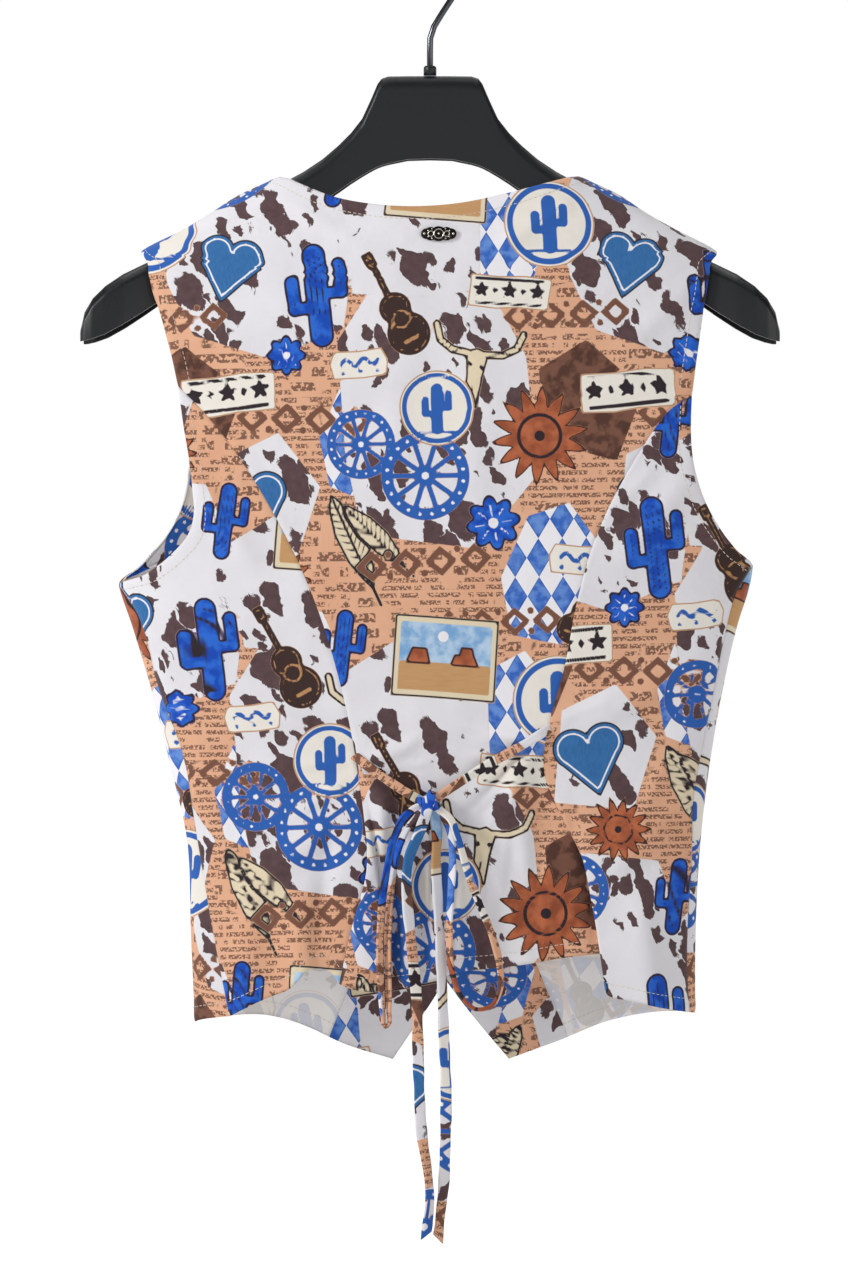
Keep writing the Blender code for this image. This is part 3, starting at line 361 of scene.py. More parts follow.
SLANT_LENGTH = 6
CORE_SIZE = (0.78, 0.72, 0.78)
HANGER_FINE_ARC = 20
HANGER_FINE_STEPS = 5

# Studio
WORLD_STRENGTH = 0.05
FLOOR_HEIGHT = -1.1
FLOOR_SIZE = 30.0
HORIZON_BAND = 0.16
VIEW_AIM = (-0.0038, 0.0, -0.4418)
VIEW_DISTANCE = 3.0
FLOOR_COLOUR = (0.6, 0.6, 0.6, 1.0)
FLOOR_GLOW = 0.25
BEHIND_VIEW = 0.85
FLOOR_NEAR = 0.9
FLOOR_FAR = 2.4
FLOOR_SIDES = (-3.0, 1.4)
WORLD_SIDES = (-0.2, 0.6)
LENS = 135
SENSOR = 36
WHITE = (1.0, 1.0, 1.0, 1.0)

# Lamps: name, place, aim, size, power
LAMPS = (
    ("key", (-2.4, -1.45, 0.9), VIEW_AIM, (0.7, 0.7), 56.0),
    ("fill", (1.8, -2.0, 0.0), VIEW_AIM, (1.6, 1.8), 12.5),
    ("top", (0.0, -0.2, 1.5), VIEW_AIM, (1.8, 1.2), 9.0),
    ("back", (0.0, 1.0, 1.2), (0.0, 0.0, -0.3), (1.8, 0.8), 9.0),
)


# Curves, the body's surface and the outlines on it
def smooth_curve(keys, values, query):
    """Read a smooth curve through the rows of a table at the queried keys."""
    keys = np.asarray(keys, float)
    values = np.asarray(values, float)
    slopes = np.gradient(values, keys)
    query = np.clip(query, keys[0], keys[-1])
    row = np.clip(np.searchsorted(keys, query, side="right") - 1, 0, len(keys) - 2)
    span = keys[row + 1] - keys[row]
    t = (query - keys[row]) / span
    start = (1 + 2 * t) * (1 - t) ** 2 * values[row] + t * (1 - t) ** 2 * span * slopes[row]
    end = t * t * (3 - 2 * t) * values[row + 1] + t * t * (t - 1) * span * slopes[row + 1]
    return start + end


def section_at(height):
    table = np.array(SECTIONS, float)
    keys = table[:, 0]
    return [smooth_curve(keys, table[:, column], height) for column in range(1, 5)]


def ramp(value, start, end):
    t = np.clip((value - start) / (end - start), 0.0, 1.0)
    return t * t * (3 - 2 * t)


def line_at(line, height):
    rows = np.array(sorted(line), float)
    return smooth_curve(rows[:, 0], rows[:, 1], height)


def fold_rise(x, z, side):
    """Sum the soft folds of one side of the body."""
    rise = np.zeros_like(x)
    for x0, z0, x1, z1, width, height in BACK_FOLDS if side == "back" else FRONT_FOLDS:
        length = math.hypot(x1 - x0, z1 - z0)
        along = ((x - x0) * (x1 - x0) + (z - z0) * (z1 - z0)) / length ** 2
        across = ((x - x0) * (z1 - z0) - (z - z0) * (x1 - x0)) / length
        end = ramp(along, *FOLD_START) * (1 - ramp(along, *FOLD_END))
        rise += FOLD_DEPTH * height * end * np.exp(-(across / width) ** 2)
    return rise


def body_surface(angle, z):
    """Place cloth points: angle 0 is the centre back, -90 the left edge, 180 the centre front."""
    angle = np.asarray(angle, float)
    z = np.asarray(z, float)
    left, right, back, front = section_at(z)
    turn = np.radians(angle)
    sine = np.sin(turn)
    cosine = np.cos(turn)
    x = (left + right) / 2 + (right - left) / 2 * sine
    facing_back = cosine > 0
    depth = np.where(facing_back, back, front)
    bulge = np.abs(cosine) ** ROUNDNESS
    y = np.where(facing_back, -1.0, 1.0) * depth * bulge
    edge = ramp(np.abs(cosine), *FOLD_FREE)
    y = y - edge * fold_rise(x, z, "back") * facing_back
    y = y + edge * fold_rise(x, z, "front") * ~facing_back
    strength = ramp(-z, -PLEAT_TOP, -PLEAT_FULL) * facing_back
    left_gap = (x - line_at(PLEAT_LEFT, z)) / PLEAT_SOFTNESS
    right_gap = (line_at(PLEAT_RIGHT, z) - x) / PLEAT_SOFTNESS
    inside = 0.25 * (1 + np.tanh(left_gap)) * (1 + np.tanh(right_gap))
    y = y + strength * PLEAT_STEP * inside
    pull_left = PLEAT_PULL_LEFT * left_gap * np.exp(-(left_gap / PLEAT_PULL_REACH) ** 2 / 2)
    pull_right = PLEAT_PULL_RIGHT * right_gap * np.exp(-(right_gap / PLEAT_PULL_REACH) ** 2 / 2)
    x = x + strength * PLEAT_SOFTNESS * (pull_right - pull_left)
    return np.stack([x, y, z], axis=-1)


def surface_normal(angle, z):
    turn = 0.35
    drop = 0.6
    across = body_surface(angle + turn, z) - body_surface(angle - turn, z)
    down = body_surface(angle, z - drop) - body_surface(angle, z + drop)
    return unit(np.cross(down, across))


def angle_of(x, z, side):
    left, right, back, front = section_at(z)
    ratio = (x - (left + right) / 2) / ((right - left) / 2)
    angle = np.degrees(np.arcsin(np.clip(ratio, -1, 1)))
    if side == "back":
        return angle
    return np.where(np.asarray(x) < FRONT_CENTRE, -180 - angle, 180 - angle)


def spread(count, start_cluster=0.0, end_cluster=0.0):
    """Give fractions from 0 to 1, closer together near the clustered ends."""
    t = np.linspace(0, 1, count + 1)
    density = 1 + 2.4 * start_cluster * (1 - t) ** 3 + 2.4 * end_cluster * t ** 3
    steps = 2 / (density[1:] + density[:-1])
    return np.concatenate([[0], np.cumsum(steps)]) / steps.sum()


def run_lengths(points):
    """Length along a line up to each of its points."""
    return np.concatenate([[0], np.cumsum(np.linalg.norm(np.diff(points, axis=0), axis=1))])


def unit(vectors):
    return vectors / np.linalg.norm(vectors, axis=-1, keepdims=True)


def turns_of(count):
    return 2 * math.pi * np.arange(count) / count


def blunt(value, power):
    """Swell a sine or cosine towards its ends, for sections with flatter sides."""
    return math.copysign(abs(value) ** power, value)


def ring_faces(count, sides, capped=True):
    """Quads between rings of points that follow each other, and a cap at each end."""
    start = np.arange(count - 1)[:, None] * sides
    a = (start + np.arange(sides)).ravel()
    b = (start + np.arange(1, sides + 1) % sides).ravel()
    faces = np.stack([a, b, b + sides, a + sides], axis=-1).tolist()
    if capped:
        faces.append(list(range(sides))[::-1])
        faces.append([(count - 1) * sides + i for i in range(sides)])
    return faces


def sample_outline(points, fractions):
    """Read a smooth outline through its points at fractions of its length."""
    points = np.array(points, float)
    length = run_lengths(points)
    query = np.asarray(fractions) * length[-1]
    return np.stack([smooth_curve(length, column, query) for column in points.T], axis=-1)


def outline(points, fractions, side):
    """Turn an outline across and up the body into angles and heights."""
    spots = sample_outline(points, fractions)
    angles = angle_of(spots[:, 0], spots[:, 1], side)
    return np.stack([angles, spots[:, 1]], axis=-1)


def front_outline(points, fractions, left_side):
    """Turn a front outline into angles and heights that run on round the side."""
    spots = outline(points, fractions, "front")
    if left_side:
        spots[:, 0] = np.where(spots[:, 0] > 0, spots[:, 0] - 360, spots[:, 0])
    else:
        spots[:, 0] = np.where(spots[:, 0] < 0, spots[:, 0] + 360, spots[:, 0])
    return spots


def join(*pieces):
    return np.concatenate([pieces[0]] + [piece[1:] for piece in pieces[1:]])


def run_fractions(curve):
    length = run_lengths(curve * (DEGREE_LENGTH, 1.0))
    return length / length[-1]


def corner_line(start, end, fractions):
    return start + (end - start) * fractions[:, None]


def fill_panel(top, bottom, left, right):
    """Blend four outlines into a grid of angles and heights, rows from top to bottom."""
    top_run, bottom_run, left_run, right_run = map(run_fractions, (top, bottom, left, right))
    down = (np.arange(len(left)) / (len(left) - 1))[:, None]
    over = (np.arange(len(top)) / (len(top) - 1))[None, :]
    s = (1 - down) * top_run[None] + down * bottom_run[None]
    t = (1 - over) * left_run[:, None] + over * right_run[:, None]
    s = s[..., None]
    t = t[..., None]
    grid = (1 - t) * ((1 - s) * top[0] + s * top[-1]) + t * ((1 - s) * bottom[0] + s * bottom[-1])
    grid = grid + (1 - t) * (top - corner_line(top[0], top[-1], top_run))[None]
    grid = grid + t * (bottom - corner_line(bottom[0], bottom[-1], bottom_run))[None]
    grid = grid + (1 - s) * (left - corner_line(left[0], left[-1], left_run))[:, None]
    grid = grid + s * (right - corner_line(right[0], right[-1], right_run))[:, None]
    return grid


def panel_points(grid, lift):
    """Place a grid on the body, moved out along the surface by the lift at each point."""
    points = body_surface(grid[..., 0], grid[..., 1])
    normals = surface_normal(grid[..., 0], grid[..., 1])
    return points + normals * np.asarray(lift)[..., None], normals


# Print drawing: distances in millimetres, below zero inside a shape
def disc(p, x, y, radius):
    return np.hypot(p[:, 0] - x, p[:, 1] - y) - radius


def ring(p, x, y, radius, half_width):
    return np.abs(disc(p, x, y, radius)) - half_width


def bar(p, x0, y0, x1, y1, radius):
    start = np.array((x0, y0), float)
    run = np.array((x1 - x0, y1 - y0), float)
    along = np.clip(((p - start) @ run) / (run @ run), 0, 1)
    return np.linalg.norm(p - start - along[:, None] * run, axis=1) - radius


def block(p, x, y, half_width, half_height, corner=0.0):
    reach = np.abs(p - (x, y)) - (half_width - corner, half_height - corner)
    outside = np.linalg.norm(np.maximum(reach, 0), axis=1)
    return outside + np.minimum(reach.max(axis=1), 0) - corner


def diamond(p, x, y, half_width, half_height):
    reach = np.abs(p[:, 0] - x) / half_width + np.abs(p[:, 1] - y) / half_height - 1
    return reach * half_width * half_height / math.hypot(half_width, half_height)


def star(p, x, y, radius):
    turn = np.arctan2(p[:, 0] - x, p[:, 1] - y) / (2 * math.pi) * 5 % 1
    reach = 0.42 + 0.58 * np.abs(turn - 0.5) ** 1.4 * 2.6
    return (np.hypot(p[:, 0] - x, p[:, 1] - y) - radius * reach) * 0.6


def stroke(p, points, radius):
    return joined(*[bar(p, *start, *end, radius) for start, end in zip(points, points[1:])])


def shape(p, points):
    points = np.array(points, float)
    nearest = np.full(len(p), FAR)
    inside = np.zeros(len(p), bool)
    for start, end in zip(points, np.roll(points, -1, axis=0)):
        nearest = np.minimum(nearest, bar(p, *start, *end, 0.0))
        spans = (start[1] > p[:, 1]) != (end[1] > p[:, 1])
        rise = end[1] - start[1] if end[1] != start[1] else 1.0
        cross = start[0] + (p[:, 1] - start[1]) / rise * (end[0] - start[0])
        inside ^= spans & (p[:, 0] < cross)
    return np.where(inside, -nearest, nearest)


def joined(*distances):
    return np.minimum.reduce(distances)


def outlined(distance, depth, half_width):
    return np.abs(distance + depth) - half_width


def dashed(p, distance, depth, half_width, count):
    turn = np.arctan2(p[:, 1], p[:, 0])
    return np.maximum(outlined(distance, depth, half_width), -1.5 * np.cos(turn * count))


def sun(p):
    turn = np.arctan2(p[:, 1], p[:, 0])
    rays = np.abs((turn / (2 * math.pi) * 14) % 1 - 0.5) * 2
    body = (np.hypot(p[:, 0], p[:, 1]) - 17 - 13 * rays) * 0.62
    marks = joined(ring(p, 0, 0, 12.5, 1.05), disc(p, 0, 0, 3.2))
    return (("rust", body), ("ink", marks))


def saguaro_outline(p):
    trunk = bar(p, 0, -26, 0, 24, 7.6)
    left = joined(bar(p, 0, -8, -15, -8, 4.4), bar(p, -15, -8, -15, 9, 4.8))
    right = joined(bar(p, 0, 0, 15, 0, 4.2), bar(p, 15, 0, 15, 17, 4.6))
    return joined(trunk, left, right)


def saguaro(p):
    body = saguaro_outline(p)
    ribs = joined(*[bar(p, x, -27, x, 25, 0.5) for x in (-3.6, 0, 3.6)])
    ribs = joined(ribs, bar(p, -15, -6, -15, 9, 0.45), bar(p, 15, 2, 15, 17, 0.45))
    return (("royal", body), ("ink", ribs), ("ink", outlined(body, 0.5, 0.5)))


def wheel(p):
    spokes = [bar(p, 0, 0, 23 * math.cos(t), 23 * math.sin(t), 1.5) for t in turns_of(10)]
    body = joined(ring(p, 0, 0, 24, 3.6), disc(p, 0, 0, 6), *spokes)
    studs = [disc(p, 24 * math.cos(t), 24 * math.sin(t), 1.3) for t in turns_of(20) + math.pi / 20]
    return (("mid", body), ("white", joined(disc(p, 0, 0, 2.4), *studs)))


def feather(p):
    blade = shape(p, (
        (0, -34), (6, -22), (10, -4), (9, 14), (3, 32), (0, 36), (-5, 28), (-9, 10), (-8, -10), (-4, -24),
    ))
    body = joined(blade, bar(p, 0, -44, 0, -30, 1.0))
    barbs = [bar(p, 0, y, side * 7.5, y + 8, 0.45) for y in range(-26, 26, 5) for side in (-1, 1)]
    marks = joined(bar(p, 0, -42, 0, 32, 0.8), outlined(body, 0.7, 0.6), *barbs)
    return (("cream", body), ("ink", marks))


def guitar(p):
    body = joined(
        disc(p, 0, -15, 13.5), disc(p, 0, 3, 10), block(p, 0, -6, 8.5, 8), bar(p, 0, 8, 0, 34, 2.1),
        block(p, 0, 37, 3.6, 5, 1.2),
    )
    marks = joined(ring(p, 0, -5, 5.2, 0.7), block(p, 0, -19, 5.5, 1.2), outlined(body, 2.2, 0.4))
    return (("dark", body), ("tan", marks))


def heart(p):
    point = shape(p, ((-19.2, 1.6), (0, -23), (19.2, 1.6), (0, 12)))
    body = joined(disc(p, -9.2, 7, 11.4), disc(p, 9.2, 7, 11.4), point)
    return (("denim", body), ("white", dashed(p, body, 2.6, 0.5, 22)))


def card(p):
    frame_shape = block(p, 0, 0, 34, 27)
    mesa = shape(p, ((-26, -5), (-22, 6), (-12, 6), (-9, -5)))
    butte = shape(p, ((3, -5), (6, 3), (9, 3), (10, 8), (18, 8), (19, 3), (23, -5)))
    return (
        ("cream", frame_shape), ("sky", block(p, 0, 7, 30, 15.5)), ("sand", block(p, 0, -13, 30, 9.5)),
        ("rust", joined(mesa, butte)), ("white", disc(p, -2, 14, 3.6)),
    )


def badge(p):
    face = disc(p, 0, 0, 30)
    rings = ring(p, 0, 0, 26.2, 1.9)
    plant = saguaro_outline(p * 1.6) / 1.6
    ground = bar(p, -14, -19, 14, -19, 0.9)
    return (("paper", face), ("mid", joined(rings, plant, ground)))


def ticket(p):
    paper = shape(p, (
        (-32, -12), (-30, 13), (-8, 12), (12, 13.5), (33, 12), (31, -13), (6, -12), (-10, -13.5),
    ))
    marks = [star(p, x, 1.2, 7.2) for x in (-22, 0, 22)]
    marks += [diamond(p, x, 1, 2.3, 3.4) for x in (-11, 11)]
    marks += [bar(p, -26, y, 26, y, 1.2) for y in (-9.4, 9.8)]
    return (("paper", paper), ("ink", joined(*marks)))


def label(p):
    paper = shape(p, ((-19, -9), (-21, 2), (-17, 10), (0, 9), (16, 10), (20, 1), (18, -9), (2, -10)))
    points = [(x, 1.5 + 2.6 * math.sin(x * 0.5)) for x in np.arange(-13, 13.1, 1.3)]
    marks = joined(stroke(p, points, 1.35), *[disc(p, x, -5.2, 1.7) for x in (-12, 0, 12)])
    return (("paper", paper), ("mid", marks))


def border_row(p):
    marks = [diamond(p, x, 0, 11.5, 10.5) for x in (-36, -12, 12, 36)]
    marks += [disc(p, x, y, 2.4) for x in (-24, 0, 24) for y in (-7.5, 7.5)]
    hole_shades = joined(*[diamond(p, x, 0, 5.2, 4.8) for x in (-36, -12, 12, 36)])
    return (("block", np.maximum(joined(*marks), 0.4 - hole_shades)),)


def steer(p):
    head = shape(p, ((-7, 12), (-5, -2), (-4.5, -20), (0, -25), (4.5, -20), (5, -2), (7, 12), (0, 15)))
    horns = [[(side * x, y) for x, y in ((5, 11), (15, 12), (23, 17), (26, 26))] for side in (-1, 1)]
    body = joined(head, stroke(p, horns[0], 2.5), stroke(p, horns[1], 2.5))
    eyes = joined(disc(p, -3.4, 4, 1.5), disc(p, 3.4, 4, 1.5))
    marks = joined(outlined(body, 0.6, 0.6), eyes, bar(p, 0, -6, 0, -18, 0.6))
    return (("cream", body), ("ink", marks))


def blossom(p):
    turn = np.arctan2(p[:, 1], p[:, 0])
    body = (np.hypot(p[:, 0], p[:, 1]) - 13 - 5.5 * np.abs(np.cos(turn * 4))) * 0.8
    ways = [(math.cos(t), math.sin(t)) for t in turns_of(8)]
    marks = joined(disc(p, 0, 0, 3.4), *[bar(p, 6 * x, 6 * y, 12 * x, 12 * y, 0.6) for x, y in ways])
    return (("royal", body), ("ink", outlined(body, 0.6, 0.5)), ("white", marks))


# Ground patches of the repeat, as outlines across and up it
PATCHES = (
    ("hide", ((-20, 40), (52, 30), (92, 78), (84, 150), (60, 196), (-4, 206), (-34, 160), (-30, 90))),
    ("hide", (
        (128, 166), (176, 150), (222, 168), (232, 232), (206, 292), (140, 300), (108, 250), (112, 200),
    )),
    ("hide", ((140, 30), (190, 24), (206, 70), (180, 104), (146, 88))),
    ("harlequin", ((72, -24), (118, -34), (138, 18), (110, 58), (84, 50), (66, 12))),
    ("harlequin", ((212, 70), (240, 58), (262, 92), (250, 146), (222, 138), (206, 100))),
    ("harlequin", ((54, 202), (88, 196), (104, 236), (80, 266), (52, 252))),
    ("patch", ((96, 96), (140, 84), (158, 128), (122, 160), (92, 142))),
    ("hide", ((-24, 190), (20, 188), (56, 192), (56, 246), (0, 274), (-30, 256))),
)

# Motifs of the repeat: across, up, turn in degrees, scale
LAYOUT = (
    (border_row, 18, 22, 4, 0.9), (border_row, 196, 112, -3, 0.9), (border_row, 64, 284, 2, 0.85),
    (border_row, 110, 176, 3, 0.85), (card, 30, 262, -5, 0.95), (wheel, 20, 76, 0, 1),
    (sun, 92, 100, 8, 1.05), (steer, 52, 140, -8, 1.05), (ticket, 148, 128, 5, 0.95),
    (saguaro, 206, 190, 6, 1), (heart, 150, 208, -14, 1), (badge, 100, 234, 0, 0.95),
    (guitar, 4, 178, 28, 1), (feather, 226, 34, 24, 0.95), (feather, 240, 38, 44, 0.8),
    (heart, 164, 58, 12, 1.1), (label, 116, 22, -4, 0.95), (blossom, 62, 46, 10, 0.95),
    (saguaro, 218, 270, -8, 0.75), (wheel, 150, 274, 20, 0.85), (ticket, 74, 190, -4, 0.8),
    (label, 232, 146, 5, 0.9), (sun, 180, 12, 0, 0.72), (wheel, 232, 96, 0, 0.78),
    (guitar, 116, 288, -34, 0.72), (blossom, 186, 152, 0, 0.7), (badge, 28, 118, 0, 0.78),
)
MOTIF_REACH = 52.0
PATCH_REACH = 110.0


def draw(spots, ink, motif, across, up, turn, scale):
    """Draw one motif on the cloth spots, over whatever lies below it."""
    lean = math.radians(turn)
    axes = np.array(((math.cos(lean), -math.sin(lean)), (math.sin(lean), math.cos(lean))))
    near = np.flatnonzero(np.abs(spots - (across, up)).max(axis=1) < MOTIF_REACH)
    if len(near) == 0:
        return
    layers = motif((spots[near] - (across, up)) @ axes / scale)
    body = layers[0][1] * scale
    for name in CHANNELS:
        ink[name][near] = np.maximum(ink[name][near], 0.1 - body)
    for name, distance in layers:
        ink[name][near] = np.minimum(ink[name][near], distance * scale)


def repeats(spots, reach):
    low = np.floor((spots.min(axis=0) - reach) / (REPEAT_ACROSS, REPEAT_DOWN)).astype(int)
    high = np.ceil((spots.max(axis=0) + reach) / (REPEAT_ACROSS, REPEAT_DOWN)).astype(int)
    for column in range(low[0], high[0] + 1):
        for row in range(low[1], high[1] + 1):
            yield column * REPEAT_ACROSS, row * REPEAT_DOWN


def print_cloth(spots):
    """Work out every ink channel for cloth spots in the print's own millimetres."""
    ink = {name: np.full(len(spots), FAR) for name in CHANNELS}
    for across, up in repeats(spots, PATCH_REACH):
        for name, points in PATCHES:
            reach = np.abs(spots - (across, up) - np.mean(points, axis=0)).max(axis=1)
            near = np.flatnonzero(reach < PATCH_REACH)
            if len(near) == 0:
                continue
            distance = shape(spots[near] - (across, up), points)
            for other in ("hide", "harlequin", "patch"):
                ink[other][near] = np.maximum(ink[other][near], -distance)
            ink[name][near] = np.minimum(ink[name][near], distance)
    for across, up in repeats(spots, MOTIF_REACH):
        for motif, x, y, turn, scale in LAYOUT:
            draw(spots, ink, motif, x + across, y + up, turn, scale)
    return ink


# Cloth meshes
def arc_across(angle, z):
    """Length round the body from the centre back, in millimetres."""
    steps = 40
    total = np.zeros_like(angle)
    before = ring_point(np.zeros_like(angle), z)
    for step in range(1, steps + 1):
        here = ring_point(angle * step / steps, z)
        total += np.linalg.norm(here - before, axis=-1)
        before = here
    return total * np.sign(angle)


def ring_point(angle, z):
    left, right, back, front = section_at(z)
    turn = np.radians(angle)
    cosine = np.cos(turn)
    depth = np.where(cosine > 0, -back, front)
    return np.stack([(right - left) / 2 * np.sin(turn), depth * np.abs(cosine) ** ROUNDNESS], axis=-1)


def edge_lengths(points):
    """Distance of each grid point from the left, right, top and bottom edges, along the cloth."""
    across = np.linalg.norm(np.diff(points, axis=1), axis=-1)
    down = np.linalg.norm(np.diff(points, axis=0), axis=-1)
    zero_column = np.zeros((points.shape[0], 1))
    zero_row = np.zeros((1, points.shape[1]))
    left = np.concatenate([zero_column, np.cumsum(across, axis=1)], axis=1)
    right = left[:, -1:] - left
    top = np.concatenate([zero_row, np.cumsum(down, axis=0)], axis=0)
    bottom = top[-1:] - top
    return left, right, top, bottom


def spread_lengths(points, cells, axis):
    """True lengths along the cloth between every cells-th point of a grid."""
    steps = np.linalg.norm(np.diff(points, axis=axis), axis=-1)
    zero = np.zeros_like(np.take(steps, [0], axis=axis))
    total = np.concatenate([zero, np.cumsum(steps, axis=axis)], axis=axis)
    return np.diff(total[::cells] if axis == 0 else total[:, ::cells], axis=axis)


def lay_flat(points, start, cells_down, cells_across):
    """Relax first print places until they keep the cloth's own lengths, as a cut piece laid flat does."""
    flat = start[::cells_down, ::cells_across].copy()
    coarse = points[::cells_down, ::cells_across]
    down = spread_lengths(points, cells_down, 0)[:, ::cells_across]
    across = spread_lengths(points, cells_across, 1)[::cells_down]
    falling = np.linalg.norm(coarse[1:, 1:] - coarse[:-1, :-1], axis=-1)
    rising = np.linalg.norm(coarse[1:, :-1] - coarse[:-1, 1:], axis=-1)
    whole, first, last = slice(None), slice(None, -1), slice(1, None)
    ties = (
        ((first, whole), (last, whole), down), ((whole, first), (whole, last), across),
        ((first, first), (last, last), falling), ((first, last), (last, first), rising),
    )
    for _ in range(FLAT_ROUNDS):
        push = np.zeros_like(flat)
        count = np.zeros(flat.shape[:2] + (1,))
        for a, b, rest in ties:
            gap = flat[b] - flat[a]
            length = np.linalg.norm(gap, axis=-1)
            change = gap * (0.5 * (length - rest) / np.maximum(length, 0.01))[..., None]
            push[a] += change
            push[b] -= change
            count[a] += 1
            count[b] += 1
        flat += FLAT_PUSH * push / count
    rows = [refine(flat[..., i], cells_down) for i in range(2)]
    return np.stack([refine(row.T, cells_across).T for row in rows], axis=-1)


def front_places(points, grid):
    """First print places of a front: straight above the chest, and true lengths down each column."""
    height = np.minimum(grid[..., 1], CHEST_HEIGHT)
    reach = points[..., 0]
    angles = angle_of(reach, height, "front")
    upper = arc_across(angles, height)
    across = np.where(grid[..., 1] > CHEST_HEIGHT, upper, arc_across(grid[..., 0], grid[..., 1]))
    steps = np.linalg.norm(np.diff(points, axis=0), axis=-1)
    rise = np.sqrt(np.maximum(steps ** 2 - np.diff(across, axis=0) ** 2, 0.0))
    rise *= np.sign(np.diff(grid[..., 1], axis=0))
    total = np.concatenate([np.zeros_like(rise[:1]), np.cumsum(rise, axis=0)])
    anchor = len(points) // 2
    return np.stack([across, grid[anchor, :, 1] + total - total[anchor]], axis=-1)


def cloth_faces(outer, normals):
    """Outer, inner and rim faces of a closed cloth whose two sides share one grid."""
    rows, columns = outer.shape[:2]
    flat = outer.reshape(-1, 3)
    a = (np.arange(rows - 1)[:, None] * columns + np.arange(columns - 1)[None]).ravel()
    outer_quads = np.stack([a, a + columns, a + columns + 1, a + 1], axis=-1)
    corners = flat[outer_quads]
    falling = np.linalg.norm(corners[:, 0] - corners[:, 2], axis=-1)
    rising = np.linalg.norm(corners[:, 1] - corners[:, 3], axis=-1)
    outer_quads[falling > rising] = np.roll(outer_quads[falling > rising], 1, axis=1)
    middle = outer_quads[len(a) // 2]
    p0, p1, p3 = flat[middle[[0, 1, 3]]]
    if np.cross(p1 - p0, p3 - p0) @ normals.reshape(-1, 3)[middle[0]] < 0:
        outer_quads = outer_quads[:, ::-1]
    inner_quads = outer_quads[:, ::-1] + rows * columns
    rim = np.concatenate([
        np.arange(columns), np.arange(1, rows) * columns + columns - 1,
        (rows - 1) * columns + np.arange(columns - 2, -1, -1), np.arange(rows - 2, 0, -1) * columns,
    ])
    after = np.roll(rim, -1)
    sides = np.stack([rim, after, after + rows * columns, rim + rows * columns], axis=-1)
    return outer_quads, inner_quads, sides


def cloth_object(name, node, grid, lift, edges, print_shift, materials):
    """Build one panel as a thin closed cloth with its print. edges gives the seam and hem masks."""
    points, normals = panel_points(grid, np.zeros(grid.shape[:2]) + lift)
    distances = edge_lengths(points)
    shift = np.zeros(grid.shape[:2])
    for distance, (is_seam, is_hem) in zip(distances, edges):
        shift -= SEAM_DIP * np.exp(-(distance / SEAM_SOFTNESS) ** 2) * is_seam
        shift -= EDGE_DROP * np.exp(-(distance / EDGE_SOFTNESS) ** 2) * is_hem
        shift += HEM_RIDGE * np.exp(-((distance - HEM_DEPTH * 0.55) / (HEM_DEPTH * 0.4)) ** 2) * is_hem
    points = points + normals * shift[..., None]
    columns = points.shape[1]
    outer = points + normals * WALL / 2
    inner = points - normals * WALL / 2
    vertices = np.concatenate([outer.reshape(-1, 3), inner.reshape(-1, 3)]) * MM
    outer_quads, inner_quads, sides = cloth_faces(outer, normals)
    faces = np.concatenate([outer_quads, inner_quads, sides])
    obj = mesh_from_arrays(name, vertices, faces, *materials)
    slots = np.zeros(len(faces), int)
    slots[len(outer_quads):len(outer_quads) + len(inner_quads)] = 1
    obj.data.polygons.foreach_set("material_index", slots)
    places = np.stack([arc_across(grid[..., 0], grid[..., 1]), grid[..., 1]], axis=-1)
    if node.startswith("front_") and "facing" not in node:
        places = front_places(points, grid)
    cells_across = {
        BACK_ACROSS_CELLS * FINE_BACK_ACROSS + 1: FINE_BACK_ACROSS,
        ARMHOLE_LOWER_CELLS * FINE_SIDE_ACROSS + 1: FINE_SIDE_ACROSS,
    }.get(columns, FINE_FRONT_ACROSS)
    spots = lay_flat(points, places, FINE_ROWS, cells_across).reshape(-1, 2) + print_shift
    write_print(obj.data, spots, 2)
    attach(obj, "root")
    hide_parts(node)
    return obj, points + normals * (WALL / 2), normals


def mesh_from_arrays(name, vertices, faces, *materials):
    mesh = bpy.data.meshes.new(name)
    mesh.from_pydata(np.asarray(vertices).tolist(), [], [list(face) for face in faces])
    mesh.polygons.foreach_set("use_smooth", np.ones(len(mesh.polygons), bool))
    mesh.update()
    for material in materials:
        mesh.materials.append(material)
    obj = bpy.data.objects.new(name, mesh)
    bpy.context.scene.collection.objects.link(obj)
    return obj


def write_print(mesh, spots, copies):
    """Store the print's channels and the cloth spot on a mesh whose copies share the spots."""
    ink = print_cloth(spots)
    for start in range(0, len(CHANNELS), 4):
        values = np.stack([ink[name] for name in CHANNELS[start:start + 4]], axis=-1)
        values = np.clip(0.5 + values / (2 * CHANNEL_RANGE), 0, 1)
        layer = mesh.attributes.new("ink_%d" % (start // 4), "FLOAT_COLOR", "POINT")
        layer.data.foreach_set("color", np.tile(values, (copies, 1)).ravel())
    layer = mesh.attributes.new("cloth_spot", "FLOAT_VECTOR", "POINT")
    flat = np.concatenate([spots, np.zeros((len(spots), 1))], axis=1)
    layer.data.foreach_set("vector", np.tile(flat, (copies, 1)).ravel())


def shoulder_line(side, count):
    """Run along the shoulder seam from the arm to the neck."""
    heights = np.linspace(SHOULDER_HEIGHT, NECK_HEIGHT, count + 1)
    return np.stack([np.full(count + 1, 90.0 * side), heights], axis=-1)


def side_seam(princess_table, seam_table):
    """Side seam points that soon come level with the princess seam's points."""
    princess = outline(princess_table, spread(PRINCESS_CELLS), "back")
    run = np.linspace(0, 1, PRINCESS_CELLS + 1)
    start_gap = seam_table[0][1] - princess[0, 1]
    end_gap = seam_table[-1][1] - princess[-1, 1]
    heights = princess[:, 1] + start_gap * (1 - run) ** LEVEL_POWER + end_gap * run ** LEVEL_POWER
    across = line_at([(z, x) for x, z in seam_table], heights)
    return np.stack([angle_of(across, heights, "back"), heights], axis=-1)


